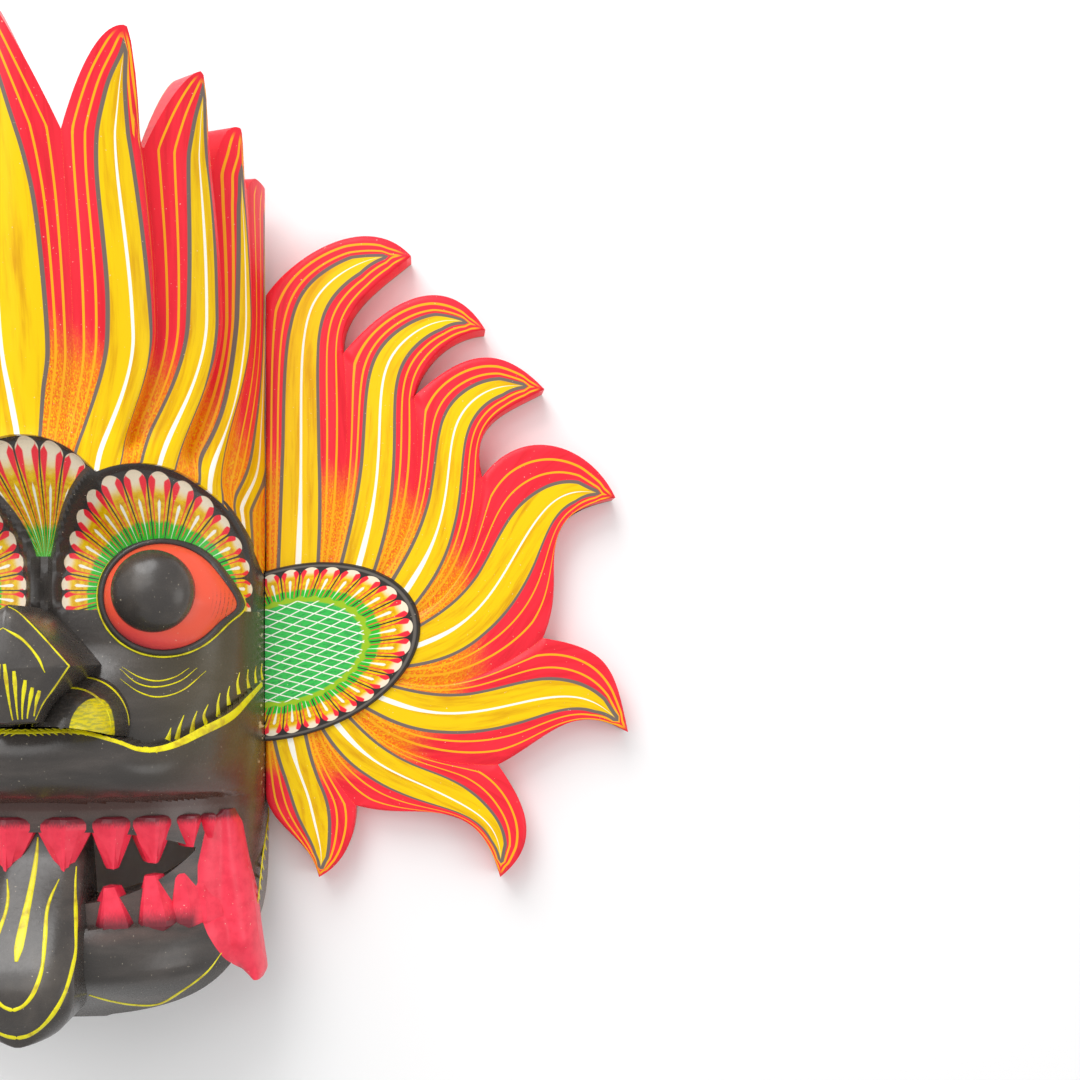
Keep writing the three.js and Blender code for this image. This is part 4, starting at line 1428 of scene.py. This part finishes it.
def ribbon(places, normals, widths):
    """A closed thin strip of paint along a line, rounded across."""
    along = np.gradient(places, axis=0)
    along /= np.maximum(np.linalg.norm(along, axis=1)[:, None], 1e-9)
    across = np.cross(along, normals)
    across /= np.maximum(np.linalg.norm(across, axis=1)[:, None], 1e-9)
    points = []
    for out, up in ((-1, -0.6), (-1, 0.2), (-0.5, 0.9), (0.5, 0.9), (1, 0.2), (1, -0.6)):
        points.append(places + across * (out * widths / 2)[:, None] + normals * (up * PAINT_THICKNESS))
    count = len(points)
    points = np.stack(points, axis=1).reshape(-1, 3)
    return points, tube_faces(len(places), count)


strokes = []


def keep_stroke(points, faces, sides=(1, -1)):
    """Keep one line, and its twin on the other side."""
    for side in sides:
        strokes.append((points * [side, 1, 1], faces if side > 0 else turned(faces)))


def spread(widths, share):
    """The width along a line, from some widths that are evenly spaced."""
    return np.interp(share, np.linspace(0, 1, len(widths)), widths)


def brush(points, surface, width, taper=(0.25, 0.25), sides=(1, -1)):
    """Draw a line with one width that tapers at its ends, or with widths along it."""
    points = smooth_line(points)
    if len(points) < 4:
        return
    share = np.linspace(0, 1, len(points))
    if np.ndim(width):
        widths = spread(width, share)
    else:
        rise = np.clip(share / max(taper[0], 1e-3), 0.15, 1)
        fall = np.clip((1 - share) / max(taper[1], 1e-3), 0.15, 1)
        wobble = 1 + 0.12 * np.sin(share * len(points) * 0.21 + points[0, 0])
        widths = width * np.minimum(rise, fall) ** 0.6 * wobble
    keep_stroke(*ribbon(*laid_on(points, surface), widths), sides)


# %% [markdown]
# The lines are traced as pixels of the photograph where it shows them on the face. Those on
# the nose and the tongue are in millimetres, seen from the front.

# %% Where the lines run
HAIR_LINE = [(34, 727), (76, 732), (115, 739), (142, 744), (159, 747)]
HAIR_LINE += [(178, 742), (201, 732), (230, 717), (247, 700), (262, 684)]
HAIR_WIDTHS = (1.7, 1.7, 1.8, 2.0, 2.2, 2.6, 3.2, 3.6, 4.2, 4.4, 4.2, 3.0)
HAIR_START = (0.0, -40.2)
HAIRS, FIRST_HAIR, HAIR_SPACING = 19, 0.01, 0.028
WRINKLES = [
    [(122, 667), (139, 677), (157, 681), (175, 677), (189, 668)],
    [(120, 669), (137, 683), (157, 687), (180, 681), (197, 668)],
    [(120, 679), (139, 692), (159, 697), (183, 690), (206, 671)],
]
JAW_LINE = [(89, 995), (110, 1001), (134, 1005), (159, 1004), (182, 991), (207, 972), (222, 952)]
NOSE_ARC = [(0, 10.3), (9.1, 4.7), (16.1, -3.5), (19.4, -10.5)]
NOSE_DROPS = [
    [(3.8, -32.7), (2.6, -20), (1.2, -6.5)],
    [(6.3, -32.4), (6.1, -20), (5.6, -9.8)],
    [(8.3, -32.3), (9.4, -22), (10.6, -14)],
    [(10.6, -32), (12.2, -24), (13.6, -17.5)],
    [(13.4, -31), (15, -24), (16.6, -19)],
]
TONGUE_INNER = [(13, -115), (10.6, -123), (10.2, -130), (11.9, -141), (12.7, -153)]
TONGUE_INNER += [(10.1, -163), (5.3, -169.5), (0, -172)]
TONGUE_OUTER = [(20, -109.6), (21.1, -119), (24.4, -136), (26, -150), (24.3, -163)]
TONGUE_OUTER += [(19.5, -173), (12.6, -181), (5.8, -185.5), (0, -187)]
TONGUE_DROP = [(0, -95), (0, -112), (0, -130), (0, -150)]
DROP_WIDTHS = (0.7, 1.5, 2.1, 2.6, 2.9, 3.2, 3.6, 4.2, 4.6, 4.4, 1.6)
SPIKES = [
    [(167.5, 740), (169.5, 734), (171, 727.5)],
    [(177, 740), (179.5, 728), (184, 715)],
    [(192, 733.5), (193.5, 722), (197, 711)],
    [(203.5, 727.5), (204, 716), (208, 704.5)],
    [(218.5, 716.5), (218, 704), (220, 693)],
    [(229, 705), (228, 695), (229.5, 686)],
    [(239, 694), (237.5, 683), (239.5, 672.5)],
    [(248.5, 688), (247.5, 678), (248, 669.5)],
    [(255.5, 683), (255, 674), (256, 666)],
    [(262, 680), (261, 671), (262, 664)],
]
FRINGE = [(269, 807), (267.5, 820), (265, 840), (262.5, 857), (260, 880), (257.5, 902), (255, 917)]


# %% [markdown]
# The lines on the front are laid on the surface that each one belongs to. The photograph shows
# the mask's right-hand half, so each line gets a twin.

# %% Lines on the front
def lid_height(x, _):
    return face_height(np.minimum(x, HALF)) + 1.2


hair = on_surface(HAIR_LINE, face_surface)
hair = np.concatenate([[HAIR_START], hair[hair[:, 0] > 4]])
hair[:, 1] = np.minimum(hair[:, 1], crease_height(hair[:, 0]) - 1.2)
brush(hair, face_surface, HAIR_WIDTHS)
for number in range(HAIRS):
    root = evenly(smooth_line(hair), np.array([FIRST_HAIR + HAIR_SPACING * number]))[0]
    brush([root + [-3.2, 1.4], root + [0.0, 0.6], root + [3.4, -1.6]], face_surface, 1.1)
for spike in SPIKES:
    brush(on_surface(spike, face_surface), face_surface, (3.0, 2.1, 1.2, 0.3))
for wrinkle in WRINKLES:
    brush(on_surface(wrinkle, face_surface), face_surface, 0.75)
brush(on_surface(JAW_LINE, face_surface), face_surface, 1.9, (0.1, 0.3))
brush(NOSE_ARC, nose_surface, 1.3)
edge_line = NOSE_CENTRE + (right_nose[1:-2] - NOSE_CENTRE) * 0.975
brush(edge_line, nose_surface, 1.2)
for drop in NOSE_DROPS:
    brush(drop, nose_surface, (0.6, 0.9, 1.4, 2.0, 1.5))
for size in (0.93, 0.74):
    turn = np.linspace(0.0, math.pi, 30)
    arch_x = NOSTRIL[0] + NOSTRIL_SIZE[0] * size * np.cos(turn)
    arch_y = NOSTRIL[1] + NOSTRIL_SIZE[1] * size * np.sin(turn)
    brush(np.stack([arch_x, arch_y], axis=1), nostril_surface, 1.7)
brush(TONGUE_DROP, tongue_surface, DROP_WIDTHS, sides=(1,))
brush(TONGUE_INNER, tongue_surface, 1.9, (0.2, 0.0))
brush(TONGUE_OUTER, tongue_surface, 2.0, (0.2, 0.0))
turn = np.linspace(math.radians(140), math.radians(375), 120)
turn = np.where(turn > math.pi, turn - 2 * math.pi, turn)
brush(np.stack(almond(turn, 2.6), axis=1), lid_height, 1.0, (0.3, 0.05))
print(len(strokes), "lines on the front")

# %% [markdown]
# On the block's upright side a fringe of whiskers runs down before the ear. Its pixels are
# carried to the side wall, and all the lines become one piece.

# %% Lines on the side
WALL_GAP = 0.1


def on_side_wall(pixels):
    """Places on the block's upright side, whose normal points outwards."""
    px, py = np.asarray(pixels, float).T
    x = np.full_like(px, HALF)
    for _ in range(6):
        z = CAMERA_HEIGHT - FOCAL_PIXELS * (CAMERA_X - x) / (FOOT_PIXEL[0] - px)
        y = (FOOT_PIXEL[1] - py) * (CAMERA_HEIGHT - z) / FOCAL_PIXELS
        x = block_width(y)
    return np.stack([x + WALL_GAP, y, np.clip(z, 2, 60)], axis=1)


def side_brush(points, widths):
    """Draw a line on the upright side."""
    outward = np.tile([1.0, 0.0, 0.0], (len(points), 1))
    keep_stroke(*ribbon(points, outward, spread(widths, np.linspace(0, 1, len(points)))))


def joined(parts):
    """Many meshes as one list of points and one of faces."""
    faces, total = [], 0
    for points, part_faces in parts:
        faces.extend(tuple(index + total for index in face) for face in part_faces)
        total += len(points)
    return np.concatenate([points for points, _ in parts]), faces


fringe = on_side_wall(smooth_line(FRINGE, 3.0))
side_brush(fringe, (1.0, 1.6, 1.6, 1.2))
for point in fringe[2::3]:
    tick = point + np.linspace(0, 1, 6)[:, None] * [0.0, -5.0, -min(9.0, point[2] - 1)]
    tick[:, 0] = block_width(tick[:, 1]) + WALL_GAP
    side_brush(tick, (2.2, 1.6, 0.3))

line_paint = material("yellow line")
worn = ramp(noise(object_place(), 160.0, 3.0), 0.45, 0.75)
enamel("yellow line", over(FACE_YELLOW, paint(190, 165, 20), worn), 0.3)
points, faces = joined(strokes)
points = points * MM + [0, BRIDGE * MM, 0]
finished("face_lines", points, faces, {}, line_paint, 60)

# %% [markdown]
# The mask lies on a pale studio floor under one large soft lamp and two weaker ones, because
# the photograph has soft light from the upper left and hardly a shadow.

# %% Floor and light
def add_floor():
    mesh = bpy.data.meshes.new("floor")
    mesh.from_pydata([(-6, -6, 0), (6, -6, 0), (6, 6, 0), (-6, 6, 0)], [], [(0, 1, 2, 3)])
    floor = bpy.data.objects.new("floor", mesh)
    floor.location.z = -0.0005
    bpy.context.collection.objects.link(floor)
    made = material("floor")
    shade = Sock.tree.nodes["Principled BSDF"]
    shade.inputs["Base Color"].default_value = (0.93, 0.93, 0.93, 1)
    shade.inputs["Roughness"].default_value = 0.7
    mesh.materials.append(made)
    return floor


def add_lamp(name, place, size, power):
    data = bpy.data.lights.new(name, "AREA")
    data.shape = "DISK"
    data.size = size
    data.energy = power
    lamp = bpy.data.objects.new(name, data)
    lamp.location = place
    lamp.rotation_euler = (-lamp.location).to_track_quat("-Z", "Y").to_euler()
    bpy.context.collection.objects.link(lamp)
    return lamp


add_floor()
add_lamp("window", (-0.5, 1.5, 1.1), 1.4, 26.0)
add_lamp("ceiling", (-0.6, 0.7, 1.7), 1.3, 8.0)
add_lamp("side", (1.9, -0.3, 1.3), 1.2, 6.0)
world = bpy.data.worlds.new("studio")
world.use_nodes = True
world.node_tree.nodes["Background"].inputs["Color"].default_value = (1, 1, 1, 1)
world.node_tree.nodes["Background"].inputs["Strength"].default_value = 0.66
bpy.context.scene.world = world
bpy.context.scene.view_settings.view_transform = "Standard"
